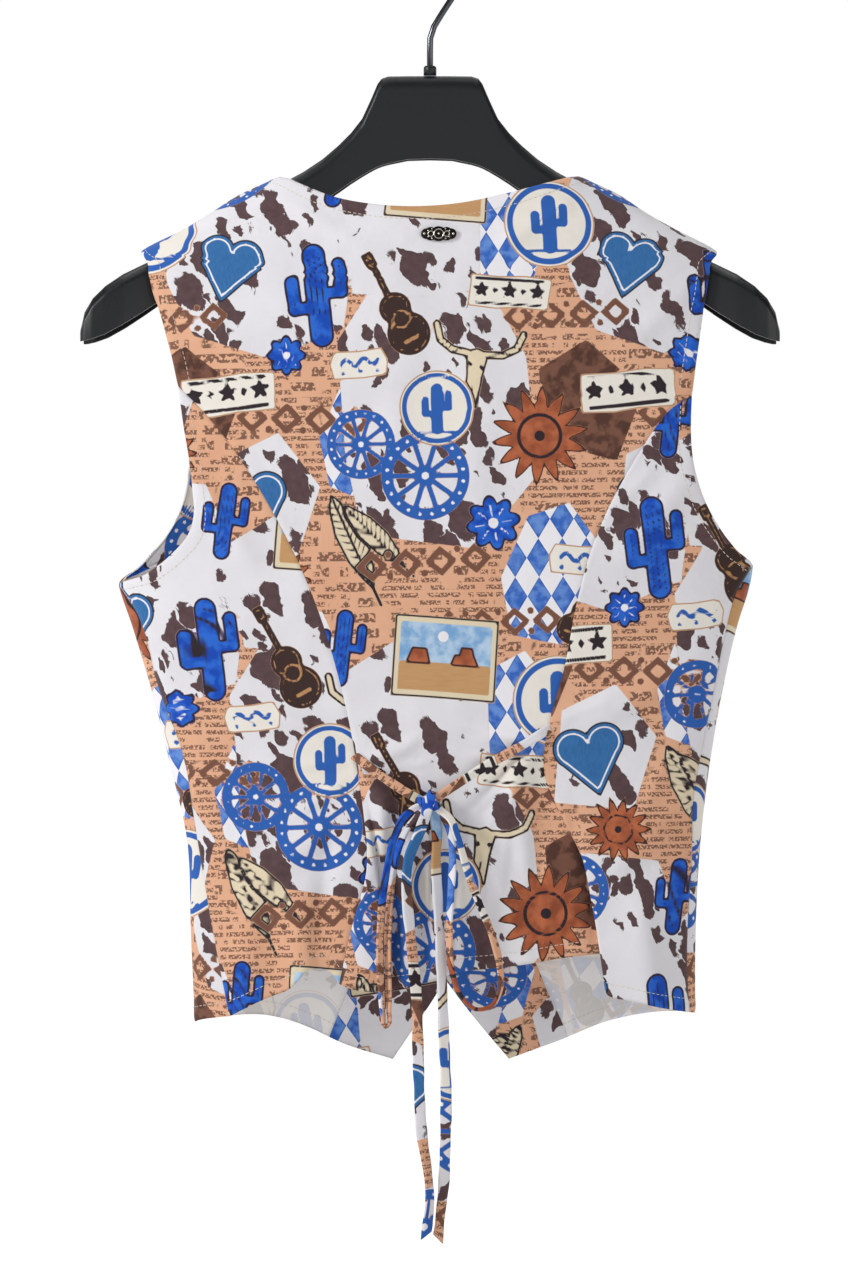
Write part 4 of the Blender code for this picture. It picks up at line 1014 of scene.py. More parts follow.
def refine(rows, cells):
    """Divide each step between the rows of a line or table smoothly into cells."""
    keys = np.arange(len(rows))
    query = np.linspace(0, len(rows) - 1, (len(rows) - 1) * cells + 1)
    return np.stack([smooth_curve(keys, column, query) for column in rows.T], axis=-1)


def back_centre_grid():
    across = spread(BACK_ACROSS_CELLS, EDGE_CLUSTER, EDGE_CLUSTER)
    top = refine(outline(BACK_NECK, across, "back"), FINE_BACK_ACROSS)
    bottom = refine(outline(HEM_CENTRE, across, "back"), FINE_BACK_ACROSS)
    upper = spread(ARMHOLE_UPPER_CELLS, UPPER_CLUSTER)
    princess = spread(PRINCESS_CELLS)
    borders = []
    tables = ((-1, ARMHOLE_UPPER_LEFT, PRINCESS_LEFT), (1, ARMHOLE_UPPER_RIGHT, PRINCESS_RIGHT))
    for side, armhole, seam in tables:
        pieces = (
            shoulder_line(side, SHOULDER_CELLS)[::-1], outline(armhole, upper, "back"),
            outline(seam, princess, "back"),
        )
        borders.append(join(*[refine(piece, FINE_ROWS) for piece in pieces]))
    return fill_panel(top, bottom, *borders)


def back_side_grid(left_side):
    """Grid of one side back, from the princess seam to the side seam."""
    armhole, princess, seam, hem = {
        True: (ARMHOLE_LOWER_LEFT, PRINCESS_LEFT, SIDE_SEAM_LEFT, HEM_SIDE_LEFT),
        False: (ARMHOLE_LOWER_RIGHT, PRINCESS_RIGHT, SIDE_SEAM_RIGHT, HEM_SIDE_RIGHT),
    }[left_side]
    cells = ARMHOLE_LOWER_CELLS
    grid = fill_panel(
        refine(outline(armhole, spread(cells), "back"), FINE_SIDE_ACROSS),
        refine(outline(hem, spread(cells, EDGE_CLUSTER, 0), "back"), FINE_SIDE_ACROSS),
        refine(outline(princess, spread(PRINCESS_CELLS), "back"), FINE_ROWS),
        refine(side_seam(princess, seam), FINE_ROWS),
    )
    return grid[:, ::-1] if left_side else grid


def front_grid(left_side):
    """Grid of one front, from the armhole side to the centre front."""
    princess, seam, armhole, v_neck, edge, cutaway, hem = {
        True: (
            PRINCESS_LEFT, SIDE_SEAM_LEFT, FRONT_ARMHOLE_LEFT, V_NECK_LEFT,
            FRONT_EDGE_LEFT, CUTAWAY_LEFT, FRONT_HEM_LEFT,
        ),
        False: (
            PRINCESS_RIGHT, SIDE_SEAM_RIGHT, FRONT_ARMHOLE_RIGHT, V_NECK_RIGHT,
            FRONT_EDGE_RIGHT, CUTAWAY_RIGHT, FRONT_HEM_RIGHT,
        ),
    }[left_side]
    side = -1 if left_side else 1
    armhole_run = spread(FRONT_ARMHOLE_CELLS, SHOULDER_CLUSTER, UNDERARM_CLUSTER)
    neck_run = spread(V_NECK_CELLS, SHOULDER_CLUSTER, UNDERARM_CLUSTER / 3)
    top = shoulder_line(side, FRONT_ACROSS_CELLS)
    side_line = front_outline(armhole, armhole_run, left_side)
    neck_line = front_outline(v_neck, neck_run, left_side)
    side_line[0] = top[0]
    neck_line[0] = top[-1]
    outer = join(refine(side_line, FINE_ROWS), refine(side_seam(princess, seam), FINE_ROWS))
    inner = join(
        refine(neck_line, FINE_ROWS),
        refine(front_outline(edge, spread(FRONT_EDGE_CELLS), left_side), FINE_ROWS),
        refine(front_outline(cutaway, spread(CUTAWAY_CELLS), left_side), FINE_ROWS),
    )
    flat = front_outline(hem, spread(FRONT_ACROSS_CELLS - WRAP_CELLS), left_side)[::-1]
    flat[0, 0] = 90.0 * side
    wrap = np.linspace(outer[-1], flat[0], WRAP_CELLS + 1)
    bottom = join(refine(wrap, FINE_FRONT_ACROSS), refine(flat, FINE_FRONT_ACROSS))
    return fill_panel(refine(top, FINE_FRONT_ACROSS), bottom, outer, inner)


def overlap_lift(grid, left_side):
    """Layers of the closed front: the right front and its facing lie over the left front."""
    x = body_surface(grid[..., 0], grid[..., 1])[..., 0]
    at_front = np.abs(grid[..., 0]) > FRONT_FROM
    distance = np.where(left_side, FRONT_CENTRE - x, x - FRONT_CENTRE)
    reach = 1 - ramp(distance, OVERLAP_START - OVERLAP_RAMP, OVERLAP_START)
    lift = (UNDER_LAYER if left_side else OVER_LAYER) * LAYER_STEP
    return lift * reach * at_front


# Thread
def read_line(query, length, line):
    return np.stack([np.interp(query, length, column) for column in line.T], axis=-1)


def inset(points, normals, distance):
    """Line at a distance from a grid's first row along the cloth, and its outward directions."""
    steps = np.linalg.norm(np.diff(points, axis=0), axis=-1)
    length = np.concatenate([np.zeros((1, points.shape[1])), np.cumsum(steps, axis=0)])
    return [
        np.array([read_line(distance, length[:, i], grid[:, i]) for i in range(points.shape[1])])
        for grid in (points, normals)
    ]


def edge_line(points, normals, edge):
    """Line of the stitches that hold the hem along one edge of a panel."""
    if edge in ("left", "right"):
        points, normals = points.transpose(1, 0, 2), normals.transpose(1, 0, 2)
    if edge in ("bottom", "right"):
        points, normals = points[::-1], normals[::-1]
    return inset(points, normals, HEM_DEPTH)


def stitch_line(line, faces):
    """Split a line into stitches: middle, direction and outward direction of each."""
    length = run_lengths(line)
    middles = np.arange(STITCH_PITCH, length[-1] - STITCH_PITCH, STITCH_PITCH)
    spots = read_line(middles, length, line)
    ways = unit(read_line(middles + 0.5, length, line) - spots)
    outs = unit(read_line(middles, length, faces))
    return spots + outs * STITCH_STAND, ways, outs


def thread_object(name, lines, material):
    """Lay one small tapered stitch at each place of the lines."""
    vertices = []
    faces = []
    stitch = ring_faces(len(STITCH_PROFILE), STITCH_SIDES)
    for line, line_faces in lines:
        for spot, way, out in zip(*stitch_line(line, line_faces)):
            side = np.cross(way, out)
            faces += [[len(vertices) + i for i in face] for face in stitch]
            for along, size in STITCH_PROFILE:
                for angle in turns_of(STITCH_SIDES):
                    offset = side * math.cos(angle) + out * math.sin(angle)
                    vertices.append(spot + way * along * STITCH_LENGTH + offset * STITCH_RADIUS * size)
    obj = mesh_from_arrays(name, np.array(vertices) * MM, faces, material)
    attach(obj, "root")


# Materials
def seen(red, green, blue):
    """Linear colour of a colour given as it is seen, each from 0 to 255."""
    parts = [value / 255 for value in (red, green, blue)]
    return tuple(v / 12.92 if v < 0.04 else ((v + 0.055) / 1.055) ** 2.4 for v in parts) + (1.0,)


# Colours of the print
PEACH_LIGHT = seen(234, 184, 152)
PEACH_DEEP = seen(220, 162, 128)
NEWS_INK = seen(96, 62, 50)
HIDE_WHITE = seen(240, 238, 242)
HIDE_GREY = seen(218, 216, 220)
HIDE_SPOT = seen(104, 80, 82)
HIDE_SPOT_DEEP = seen(72, 52, 54)
DIAMOND_BLUE = seen(52, 100, 190)
DIAMOND_LIGHT = seen(104, 146, 216)
DIAMOND_EDGE = seen(34, 70, 150)
PATCH_BROWN = seen(122, 82, 66)
PATCH_DARK = seen(84, 54, 44)
CREAM = seen(228, 212, 182)
PAPER = seen(238, 232, 222)
SKY_BLUE = seen(122, 168, 214)
SKY_PALE = seen(186, 210, 232)
SAND = seen(206, 164, 112)
TAN = seen(190, 140, 96)
RUST = seen(186, 104, 68)
RUST_DEEP = seen(150, 78, 50)
DARK_BROWN = seen(60, 42, 38)
DENIM = seen(34, 92, 154)
DENIM_LIGHT = seen(66, 124, 180)
ROYAL_BLUE = seen(16, 72, 180)
ROYAL_LIGHT = seen(40, 104, 208)
MID_BLUE = seen(44, 96, 178)
INK = seen(44, 34, 40)
REVERSE_WHITE = seen(236, 234, 232)

# Lines along the edges of the print's shapes: body, depth, half width, colour
EDGE_LINES = (
    ("cream", 0.6, 0.55, INK), ("paper", 0.3, 0.35, TAN), ("rust", 0.6, 0.6, DARK_BROWN),
    ("royal", 0.7, 0.6, INK), ("denim", 0.2, 0.5, INK), ("denim", 3.0, 0.5, HIDE_WHITE),
)


class Shader:
    """Short calls for building one node material."""

    def __init__(self, name):
        self.material = bpy.data.materials.new(name)
        self.material.use_nodes = True
        self.tree = self.material.node_tree
        self.surface = [node for node in self.tree.nodes if node.type == "BSDF_PRINCIPLED"][0]

    def node(self, kind, **settings):
        made = self.tree.nodes.new(kind)
        for key, value in settings.items():
            setattr(made, key, value)
        return made

    def put(self, value, socket):
        if isinstance(value, bpy.types.NodeSocket):
            self.tree.links.new(value, socket)
        else:
            socket.default_value = value

    def math(self, operation, a, b=0.0, c=0.0, clamp=False):
        made = self.node("ShaderNodeMath", operation=operation, use_clamp=clamp)
        for value, socket in zip((a, b, c), made.inputs):
            self.put(value, socket)
        return made.outputs[0]

    def mix(self, amount, a, b):
        made = self.node("ShaderNodeMix", data_type="RGBA")
        self.put(amount, made.inputs[0])
        self.put(a, made.inputs[6])
        self.put(b, made.inputs[7])
        return made.outputs[2]

    def noise(self, vector, scale, detail=2.0, stretch=None):
        if stretch:
            vector = self.stretched(vector, stretch)
        made = self.node("ShaderNodeTexNoise")
        self.put(vector, made.inputs["Vector"])
        self.put(scale, made.inputs["Scale"])
        self.put(detail, made.inputs["Detail"])
        return made.outputs[0]

    def stretched(self, vector, factors):
        made = self.node("ShaderNodeVectorMath", operation="MULTIPLY")
        self.put(vector, made.inputs[0])
        self.put(factors, made.inputs[1])
        return made.outputs[0]

    def step(self, value, low, high):
        made = self.node("ShaderNodeMapRange", interpolation_type="SMOOTHSTEP")
        for amount, socket in zip((value, low, high), made.inputs):
            self.put(amount, socket)
        return made.outputs[0]

    def off_middle(self, value):
        """How far the fraction of a value lies from one half."""
        return self.math("ABSOLUTE", self.math("SUBTRACT", self.math("FRACT", value), 0.5))

    def bump(self, height, strength, distance, before=None):
        made = self.node("ShaderNodeBump")
        self.put(strength, made.inputs["Strength"])
        self.put(distance, made.inputs["Distance"])
        self.put(height, made.inputs["Height"])
        if before is not None:
            self.put(before, made.inputs["Normal"])
        return made.outputs[0]

    def finish(self, colour, roughness, normal=None, metallic=0.0):
        self.put(colour, self.surface.inputs["Base Color"])
        self.put(roughness, self.surface.inputs["Roughness"])
        self.put(metallic, self.surface.inputs["Metallic"])
        if normal is not None:
            self.put(normal, self.surface.inputs["Normal"])
        return self.material


def read_inks(shader):
    """Every ink channel in millimetres, below zero inside its shapes."""
    found = {}
    for start in range(0, len(CHANNELS), 4):
        layer = shader.node("ShaderNodeAttribute", attribute_name="ink_%d" % (start // 4))
        parts = shader.node("ShaderNodeSeparateColor")
        shader.put(layer.outputs["Color"], parts.inputs[0])
        sockets = list(parts.outputs) + [layer.outputs["Alpha"]]
        for name, socket in zip(CHANNELS[start:start + 4], sockets):
            found[name] = shader.math("MULTIPLY_ADD", socket, 2 * CHANNEL_RANGE, -CHANNEL_RANGE)
    return found


def cover(shader, distance, soft=INK_SOFTNESS):
    return shader.math("MULTIPLY_ADD", distance, -0.5 / soft, 0.5, clamp=True)


def edge_band(shader, distance, depth, half_width):
    """A line of its own width, at a depth inside a shape's edge."""
    off = shader.math("ABSOLUTE", shader.math("ADD", distance, depth))
    return cover(shader, shader.math("SUBTRACT", off, half_width))


def newsprint(shader, spot, across, up):
    """Rows of small unreadable marks on peach paper, with some larger rows."""
    paper = shader.mix(shader.noise(spot, 0.03, 3.0), PEACH_LIGHT, PEACH_DEEP)
    found = []
    for pitch, word_scale, letter_scale, share in NEWS_ROWS:
        rows = shader.math("DIVIDE", up, pitch)
        place = shader.node("ShaderNodeCombineXYZ")
        shader.put(across, place.inputs[0])
        shader.put(shader.math("MULTIPLY", shader.math("FLOOR", rows), 17.3), place.inputs[1])
        words = shader.step(shader.noise(place.outputs[0], word_scale, 1.0), share - 0.02, share + 0.02)
        letters = shader.step(shader.noise(spot, letter_scale, 1.0), 0.43, 0.5)
        inside = shader.step(shader.off_middle(rows), 0.33, 0.27)
        found.append(shader.math("MULTIPLY", shader.math("MULTIPLY", words, letters), inside))
    small_rows, large_rows = found
    large = shader.step(shader.noise(spot, 0.021, 1.0), 0.53, 0.55)
    change = shader.math("MULTIPLY", large, shader.math("SUBTRACT", large_rows, small_rows))
    marks = shader.math("MULTIPLY", shader.math("ADD", small_rows, change), NEWS_STRENGTH)
    return shader.mix(marks, paper, NEWS_INK)


def blobs(shader, spot, size, low, high):
    """Rounded blots of uneven size, one to a cell: above zero inside."""
    cells = shader.node("ShaderNodeTexVoronoi")
    shader.put(shader.stretched(spot, (1.3, 0.72, 1.0)), cells.inputs["Vector"])
    shader.put(1 / size, cells.inputs["Scale"])
    chance = shader.node("ShaderNodeSeparateColor")
    shader.put(cells.outputs["Color"], chance.inputs[0])
    radius = shader.math("MULTIPLY_ADD", chance.outputs[0], high - low, low)
    return shader.math("SUBTRACT", radius, cells.outputs["Distance"])


def hide_print(shader, spot):
    wander = shader.node("ShaderNodeTexNoise")
    shader.put(spot, wander.inputs["Vector"])
    shader.put(0.085, wander.inputs["Scale"])
    shift = shader.node("ShaderNodeVectorMath", operation="MULTIPLY_ADD")
    shader.put(wander.outputs["Color"], shift.inputs[0])
    shader.put(SPOT_WANDER, shift.inputs[1])
    shader.put(spot, shift.inputs[2])
    leaning = shader.node("ShaderNodeMapping")
    shader.put(shift.outputs[0], leaning.inputs["Vector"])
    leaning.inputs["Rotation"].default_value = (0.0, 0.0, SPOT_LEAN)
    place = leaning.outputs[0]
    large = blobs(shader, place, *LARGE_SPOTS)
    small = blobs(shader, place, *SMALL_SPOTS)
    crowd = shader.step(shader.noise(spot, 0.022, 1.0), 0.36, 0.62)
    field = shader.math("MAXIMUM", large, shader.math("MULTIPLY", small, 0.6))
    field = shader.math("ADD", field, shader.math("MULTIPLY_ADD", crowd, 0.3, -0.17))
    ragged = shader.noise(shader.stretched(place, (1.0, 0.3, 1.0)), 1.1, 2.0)
    field = shader.math("ADD", field, shader.math("MULTIPLY_ADD", ragged, 0.14, -0.07))
    spots = shader.step(field, 0.0, 0.03)
    plum = shader.mix(shader.noise(spot, 0.2, 2.0), HIDE_SPOT_DEEP, HIDE_SPOT)
    ground = shader.mix(shader.noise(spot, 0.02, 2.0), HIDE_WHITE, HIDE_GREY)
    return shader.mix(spots, ground, plum)


def harlequin_print(shader, spot, across, up):
    a = shader.math("DIVIDE", across, DIAMOND_WIDTH)
    b = shader.math("DIVIDE", up, DIAMOND_HEIGHT)
    rising = shader.math("ADD", a, b)
    falling = shader.math("SUBTRACT", a, b)
    count = shader.math("ADD", shader.math("FLOOR", rising), shader.math("FLOOR", falling))
    odd = shader.math("FLOORED_MODULO", count, 2.0)
    reach = shader.math("MAXIMUM", shader.off_middle(rising), shader.off_middle(falling))
    wash = shader.mix(shader.step(shader.noise(spot, 0.16, 4.0), 0.35, 0.65), DIAMOND_BLUE, DIAMOND_LIGHT)
    wash = shader.mix(shader.math("MULTIPLY", shader.step(reach, 0.4, 0.49), 0.45), wash, DIAMOND_EDGE)
    return shader.mix(odd, HIDE_WHITE, wash)


def print_material(name, faded):
    """The whole print, from the ground up. The faded one is the cloth's reverse, paler for its own faint
    print and for painted light through the thin cloth, with a painted glow.
    """
    shader = Shader(name)
    layer = shader.node("ShaderNodeAttribute", attribute_name="cloth_spot")
    spot = layer.outputs["Vector"]
    parts = shader.node("ShaderNodeSeparateXYZ")
    shader.put(spot, parts.inputs[0])
    across, up = parts.outputs[0], parts.outputs[1]
    ink = read_inks(shader)
    mottle = shader.noise(spot, 0.11, 4.0)
    colour = newsprint(shader, spot, across, up)
    for body, paint in (
        ("patch", shader.mix(shader.step(mottle, 0.42, 0.58), PATCH_BROWN, PATCH_DARK)),
        ("harlequin", harlequin_print(shader, spot, across, up)),
        ("hide", hide_print(shader, spot)),
        ("cream", CREAM),
        ("paper", PAPER),
        ("sky", shader.mix(shader.step(mottle, 0.35, 0.65), SKY_BLUE, SKY_PALE)),
        ("sand", shader.mix(shader.noise(spot, 0.3, 3.0, (0.3, 2.0, 1.0)), SAND, TAN)),
        ("rust", shader.mix(shader.step(mottle, 0.35, 0.65), RUST_DEEP, RUST)),
        ("dark", DARK_BROWN),
        ("denim", shader.mix(shader.noise(spot, 0.8, 3.0, (1.0, 0.25, 1.0)), DENIM, DENIM_LIGHT)),
        ("royal", shader.mix(shader.step(mottle, 0.4, 0.6), ROYAL_BLUE, ROYAL_LIGHT)),
        ("mid", MID_BLUE),
        ("block", PATCH_BROWN),
    ):
        colour = shader.mix(cover(shader, ink[body]), colour, paint)
    for body, depth, half_width, line_colour in EDGE_LINES:
        colour = shader.mix(edge_band(shader, ink[body], depth, half_width), colour, line_colour)
    for body, paint in (("ink", INK), ("white", HIDE_WHITE), ("tan", TAN)):
        colour = shader.mix(cover(shader, ink[body]), colour, paint)
    if faded:
        # Paler reverse: its own faint print, and painted light through the thin cloth; the emission is a
        # painted glow of that light.
        colour = shader.mix(REVERSE_FADE_AND_LIGHT, colour, REVERSE_WHITE)
        shader.put(colour, shader.surface.inputs["Emission Color"])
        shader.surface.inputs["Emission Strength"].default_value = REVERSE_PAINTED_GLOW
    weave = shader.bump(shader.noise(spot, 2.4, 1.0), 0.12, 0.0002)
    normal = shader.bump(shader.noise(spot, 0.05, 3.0), 0.5, 0.0032, weave)
    shader.surface.inputs["Sheen Weight"].default_value = CLOTH_SHEEN
    shader.surface.inputs["Specular IOR Level"].default_value = CLOTH_SPECULAR
    return shader.finish(colour, CLOTH_ROUGHNESS, normal)


def plain_material(name, light, dark, roughness, scale, depth, metallic=0.0):
    """A finish of two close colours with a fine grain of its own."""
    shader = Shader(name)
    place = shader.node("ShaderNodeTexCoord").outputs["Object"]
    grain = shader.noise(place, scale, 3.0)
    colour = shader.mix(grain, dark, light)
    rough = shader.math("MULTIPLY_ADD", grain, 0.12, roughness - 0.06)
    normal = shader.bump(grain, 0.4, depth)
    return shader.finish(colour, rough, normal, metallic)


# Finishes: name, light and dark colour as seen, roughness, grain's scale and depth, metal
FINISHES = (
    ("sewing_thread", (236, 228, 214), (205, 192, 172), 0.8, 900, 0.0002),
    ("hanger_black", (20, 23, 26), (12, 14, 16), 0.42, 700, 0.0001),
    ("hook_chrome", (92, 94, 99), (70, 72, 76), 0.2, 200, 0.00002, 1.0),
    ("ornament_dark", (52, 48, 44), (24, 22, 20), 0.42, 500, 0.0002, 1.0),
    ("ornament_bright", (226, 222, 214), (180, 174, 164), 0.25, 500, 0.0001, 1.0),
    ("button_horn", (84, 62, 48), (44, 32, 26), 0.35, 160, 0.0001),
    # hole_shadow is painted shade for the buttons' holes.
    ("hole_shadow", (20, 16, 14), (12, 10, 9), 0.8, 300, 0.0001),
)


# Waist tie
def resample_route(route, step):
    """Even points along a smooth curve through the route, with the tilt of the strap."""
    rows = np.array(route, float)
    length = run_lengths(rows[:, :3])
    count = max(4, int(round(length[-1] / step)))
    query = np.linspace(0, length[-1], count + 1)
    return np.stack([smooth_curve(length, column, query) for column in rows.T], axis=-1)


def strap_object(name, route, width, print_at, material, slant):
    """Sweep a soft flat strap along a route; tilt 0 faces the strap to the viewer's side."""
    rows = resample_route(route, STRAP_STEP)
    points = rows[:, :3]
    tilts = np.radians(rows[:, 3])[:, None]
    tangents = unit(np.gradient(points, axis=0))
    count = len(points)
    run = np.arange(count) * STRAP_STEP
    level = unit(np.cross(tangents, TO_VIEWER))
    face = np.cross(level, tangents)
    side = np.cos(tilts) * level + np.sin(tilts) * face
    front = np.cos(tilts) * face - np.sin(tilts) * level
    rings = []
    spots = []
    seed = len(name) + print_at[0] * 0.1
    half = width / 2 * (1 + 0.05 * np.sin(run / 7.3 + seed) + 0.04 * np.sin(run / 3.1 + 2 * seed))
    for turn in turns_of(STRAP_SIDES):
        reach = blunt(math.cos(turn), STRAP_EDGE_POWER)
        rise = blunt(math.sin(turn), STRAP_FACE_POWER)
        dent = 1 - 0.5 * math.exp(-(reach / 0.3) ** 2) * (0.7 + 0.3 * np.sin(run / 11 + seed))
        offset = side * (reach * half)[:, None] + front * (rise * STRAP_BODY / 2 * dent)[:, None]
        lean = np.clip(run - run[-1] + SLANT_LENGTH, 0, SLANT_LENGTH) / SLANT_LENGTH * slant * reach
        rings.append(points + offset + tangents * lean[:, None])
        spots.append(np.stack([np.full(count, print_at[0] + reach * width / 2), print_at[1] - run], axis=-1))
    vertices = np.stack(rings, axis=1).reshape(-1, 3) * MM
    obj = mesh_from_arrays(name, vertices, ring_faces(count, STRAP_SIDES), material)
    write_print(obj.data, np.stack(spots, axis=1).reshape(-1, 2), 1)
    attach(obj, "root")
    return obj, points * MM


def wrap_band(centre, way, lean, reach, depth, width, thickness):
    """A closed turn of the strap round the knot; way and lean are its run and its width's direction."""
    points = []
    for turn in turns_of(KNOT_STEPS):
        middle = centre + way * reach * math.sin(turn) + TO_VIEWER * depth * math.cos(turn)
        out = unit(way * math.sin(turn) / reach + TO_VIEWER * math.cos(turn) / depth)
        narrow = 1 - 0.28 * math.sin(turn) ** 2
        for side in turns_of(STRAP_SIDES):
            across = blunt(math.cos(side), WRAP_EDGE_POWER)
            crease = 1 - 0.3 * math.exp(-((across - 0.2) / 0.3) ** 2)
            height = blunt(math.sin(side), STRAP_FACE_POWER) * thickness / 2 * crease - 0.7 * across * across
            points.append(middle + lean * across * width / 2 * narrow + out * height)
    faces = np.array(ring_faces(KNOT_STEPS + 1, STRAP_SIDES, False)) % len(points)
    return np.array(points), faces


def knot_object(material):
    """The tie's knot: two turns of the strap that cross, over a small soft core."""
    centre = np.array(KNOT_PLACE, float)
    vertices = []
    faces = []
    spots = []
    for way, lean, reach, depth, width, print_at in KNOT_BANDS:
        points, band_faces = wrap_band(centre, np.array(way), np.array(lean), reach, depth, width, WRAP_BODY)
        faces += (band_faces + len(vertices)).tolist()
        vertices += points.tolist()
        spots.append(points[:, (0, 2)] - centre[[0, 2]] + print_at)
    rows, columns = CORE_CELLS
    down = np.linspace(0.05, math.pi - 0.05, rows + 1)[:, None]
    around = turns_of(columns)[None]
    round_core = [np.sin(down) * np.cos(around), np.sin(down) * np.sin(around), np.cos(down) + 0 * around]
    core = np.stack(round_core, axis=-1).reshape(-1, 3) * KNOT_HALF_SIZE * CORE_SIZE + centre
    faces += [[len(vertices) + i for i in face[:1] + face[:0:-1]] for face in ring_faces(rows + 1, columns)]
    vertices += core.tolist()
    spots.append(core[:, (0, 2)] - centre[[0, 2]] + CORE_PRINT)
    obj = mesh_from_arrays("knot_wraps", np.array(vertices) * MM, faces, material)
    write_print(obj.data, np.concatenate(spots), 1)
    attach(obj, "root")
    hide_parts("tie_knot")


def waist_tie(material):
    for name, route, width, print_at, slant, far_end in TIE_PARTS:
        obj, path = strap_object(name, route, width, print_at, material, slant)
        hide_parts("tie_" + name)


# Buttons, ornament, hanger and hook
def surface_frame(x, z, side, lift):
    """Point and outward direction on the cloth at a place across and up the body."""
    angle = np.array([float(angle_of(np.array(float(x)), np.array(float(z)), side))])
    height = np.array([float(z)])
    points, normals = panel_points(np.stack([angle, height], axis=-1), np.array([lift]))
    return points[0], normals[0]


def turned(name, profile, segments, material):
    """Turn a profile of radius and height about its own Z axis, closed at both ends."""
    points = [(r * math.cos(t), r * math.sin(t), h) for r, h in profile for t in turns_of(segments)]
    return mesh_from_arrays(name, np.array(points) * MM, ring_faces(len(profile), segments), material)


def turned_ring(name, profile, segments, material):
    """Turn a closed profile of radius and height about its own Z axis."""
    sides = len(profile)
    points = [(r * math.cos(t), r * math.sin(t), h) for t in turns_of(segments) for r, h in profile]
    faces = np.array(ring_faces(segments + 1, sides, False)) % len(points)
    return mesh_from_arrays(name, np.array(points) * MM, faces[:, (0, 3, 2, 1)], material)


def lay_on_cloth(obj, point, normal, height):
    """Set an object's own Z axis along the cloth's outward direction, above the cloth."""
    flat = np.array((normal[0], normal[1], 0.0))
    flat /= np.linalg.norm(flat)
    obj.rotation_euler = (math.radians(90), 0.0, math.atan2(flat[0], -flat[1]))
    obj.location = [value * MM for value in point + flat * height]


def buttons(plastic, thread, shadow):
    """Buttons with a raised rim, four holes drawn as dark discs of painted shade, and crossed thread."""
    edge = BUTTON_RADIUS
    top = BUTTON_THICKNESS
    profile = (
        (edge - 1.3, 0.0), (edge - 0.5, 0.3), (edge, 0.9), (edge, 1.8), (edge - 0.3, 2.35), (edge - 0.9, top),
        (edge - 1.6, top - 0.12), (edge - 2.1, top - 0.6), (edge - 3.2, top - 0.85),
    )
    for number, height in enumerate(BUTTON_HEIGHTS, start=1):
        point, normal = surface_frame(FRONT_CENTRE, height, "front", OVER_LAYER * LAYER_STEP)
        button = turned("button_form_%d" % number, profile, ROUND_SEGMENTS, plastic)
        lay_on_cloth(button, point, normal, WALL / 2 + BUTTON_STAND)
        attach(button, "root")
        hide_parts("button_%d" % number)
        hole_shades, crosses = ([], []), ([], [])
        # Each hole is a flat dark disc: painted shade in the hole, not a cut.
        for turn in turns_of(4) + math.pi / 4:
            centre = (BUTTON_HOLE_REACH * math.cos(turn), BUTTON_HOLE_REACH * math.sin(turn))
            add_bar(*hole_shades, (*centre, top - 0.9), (*centre, top - 0.82), 0.62)
        for lean in (-1, 1):
            add_bar(*crosses, (-1.1, 1.1 * lean, top - 0.75), (1.1, -1.1 * lean, top - 0.6), 0.42)
        for name, lists, material, slot in (
            ("button_holes_%d", hole_shades, shadow, "button_plastic"),
            ("button_thread_%d", crosses, thread, "printed_cloth"),
        ):
            piece = mesh_from_arrays(name % number, np.array(lists[0]) * MM, lists[1], material)
            lay_on_cloth(piece, point, normal, WALL / 2 + BUTTON_STAND)
            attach(piece, "root")


def add_bar(vertices, faces, start, end, radius, sides=10):
    """Add a straight rod between two points to a mesh's lists."""
    start = np.array(start, float)
    end = np.array(end, float)
    way = unit(end - start)
    side = unit(np.cross(way, (0.0, 1.0, 0.0) if abs(way[1]) < 0.9 else (1.0, 0.0, 0.0)))
    out = np.cross(way, side)
    faces += [[len(vertices) + i for i in face] for face in ring_faces(2, sides)]
    for point in (start, end):
        for turn in turns_of(sides):
            vertices.append(point + side * radius * math.cos(turn) + out * radius * math.sin(turn))


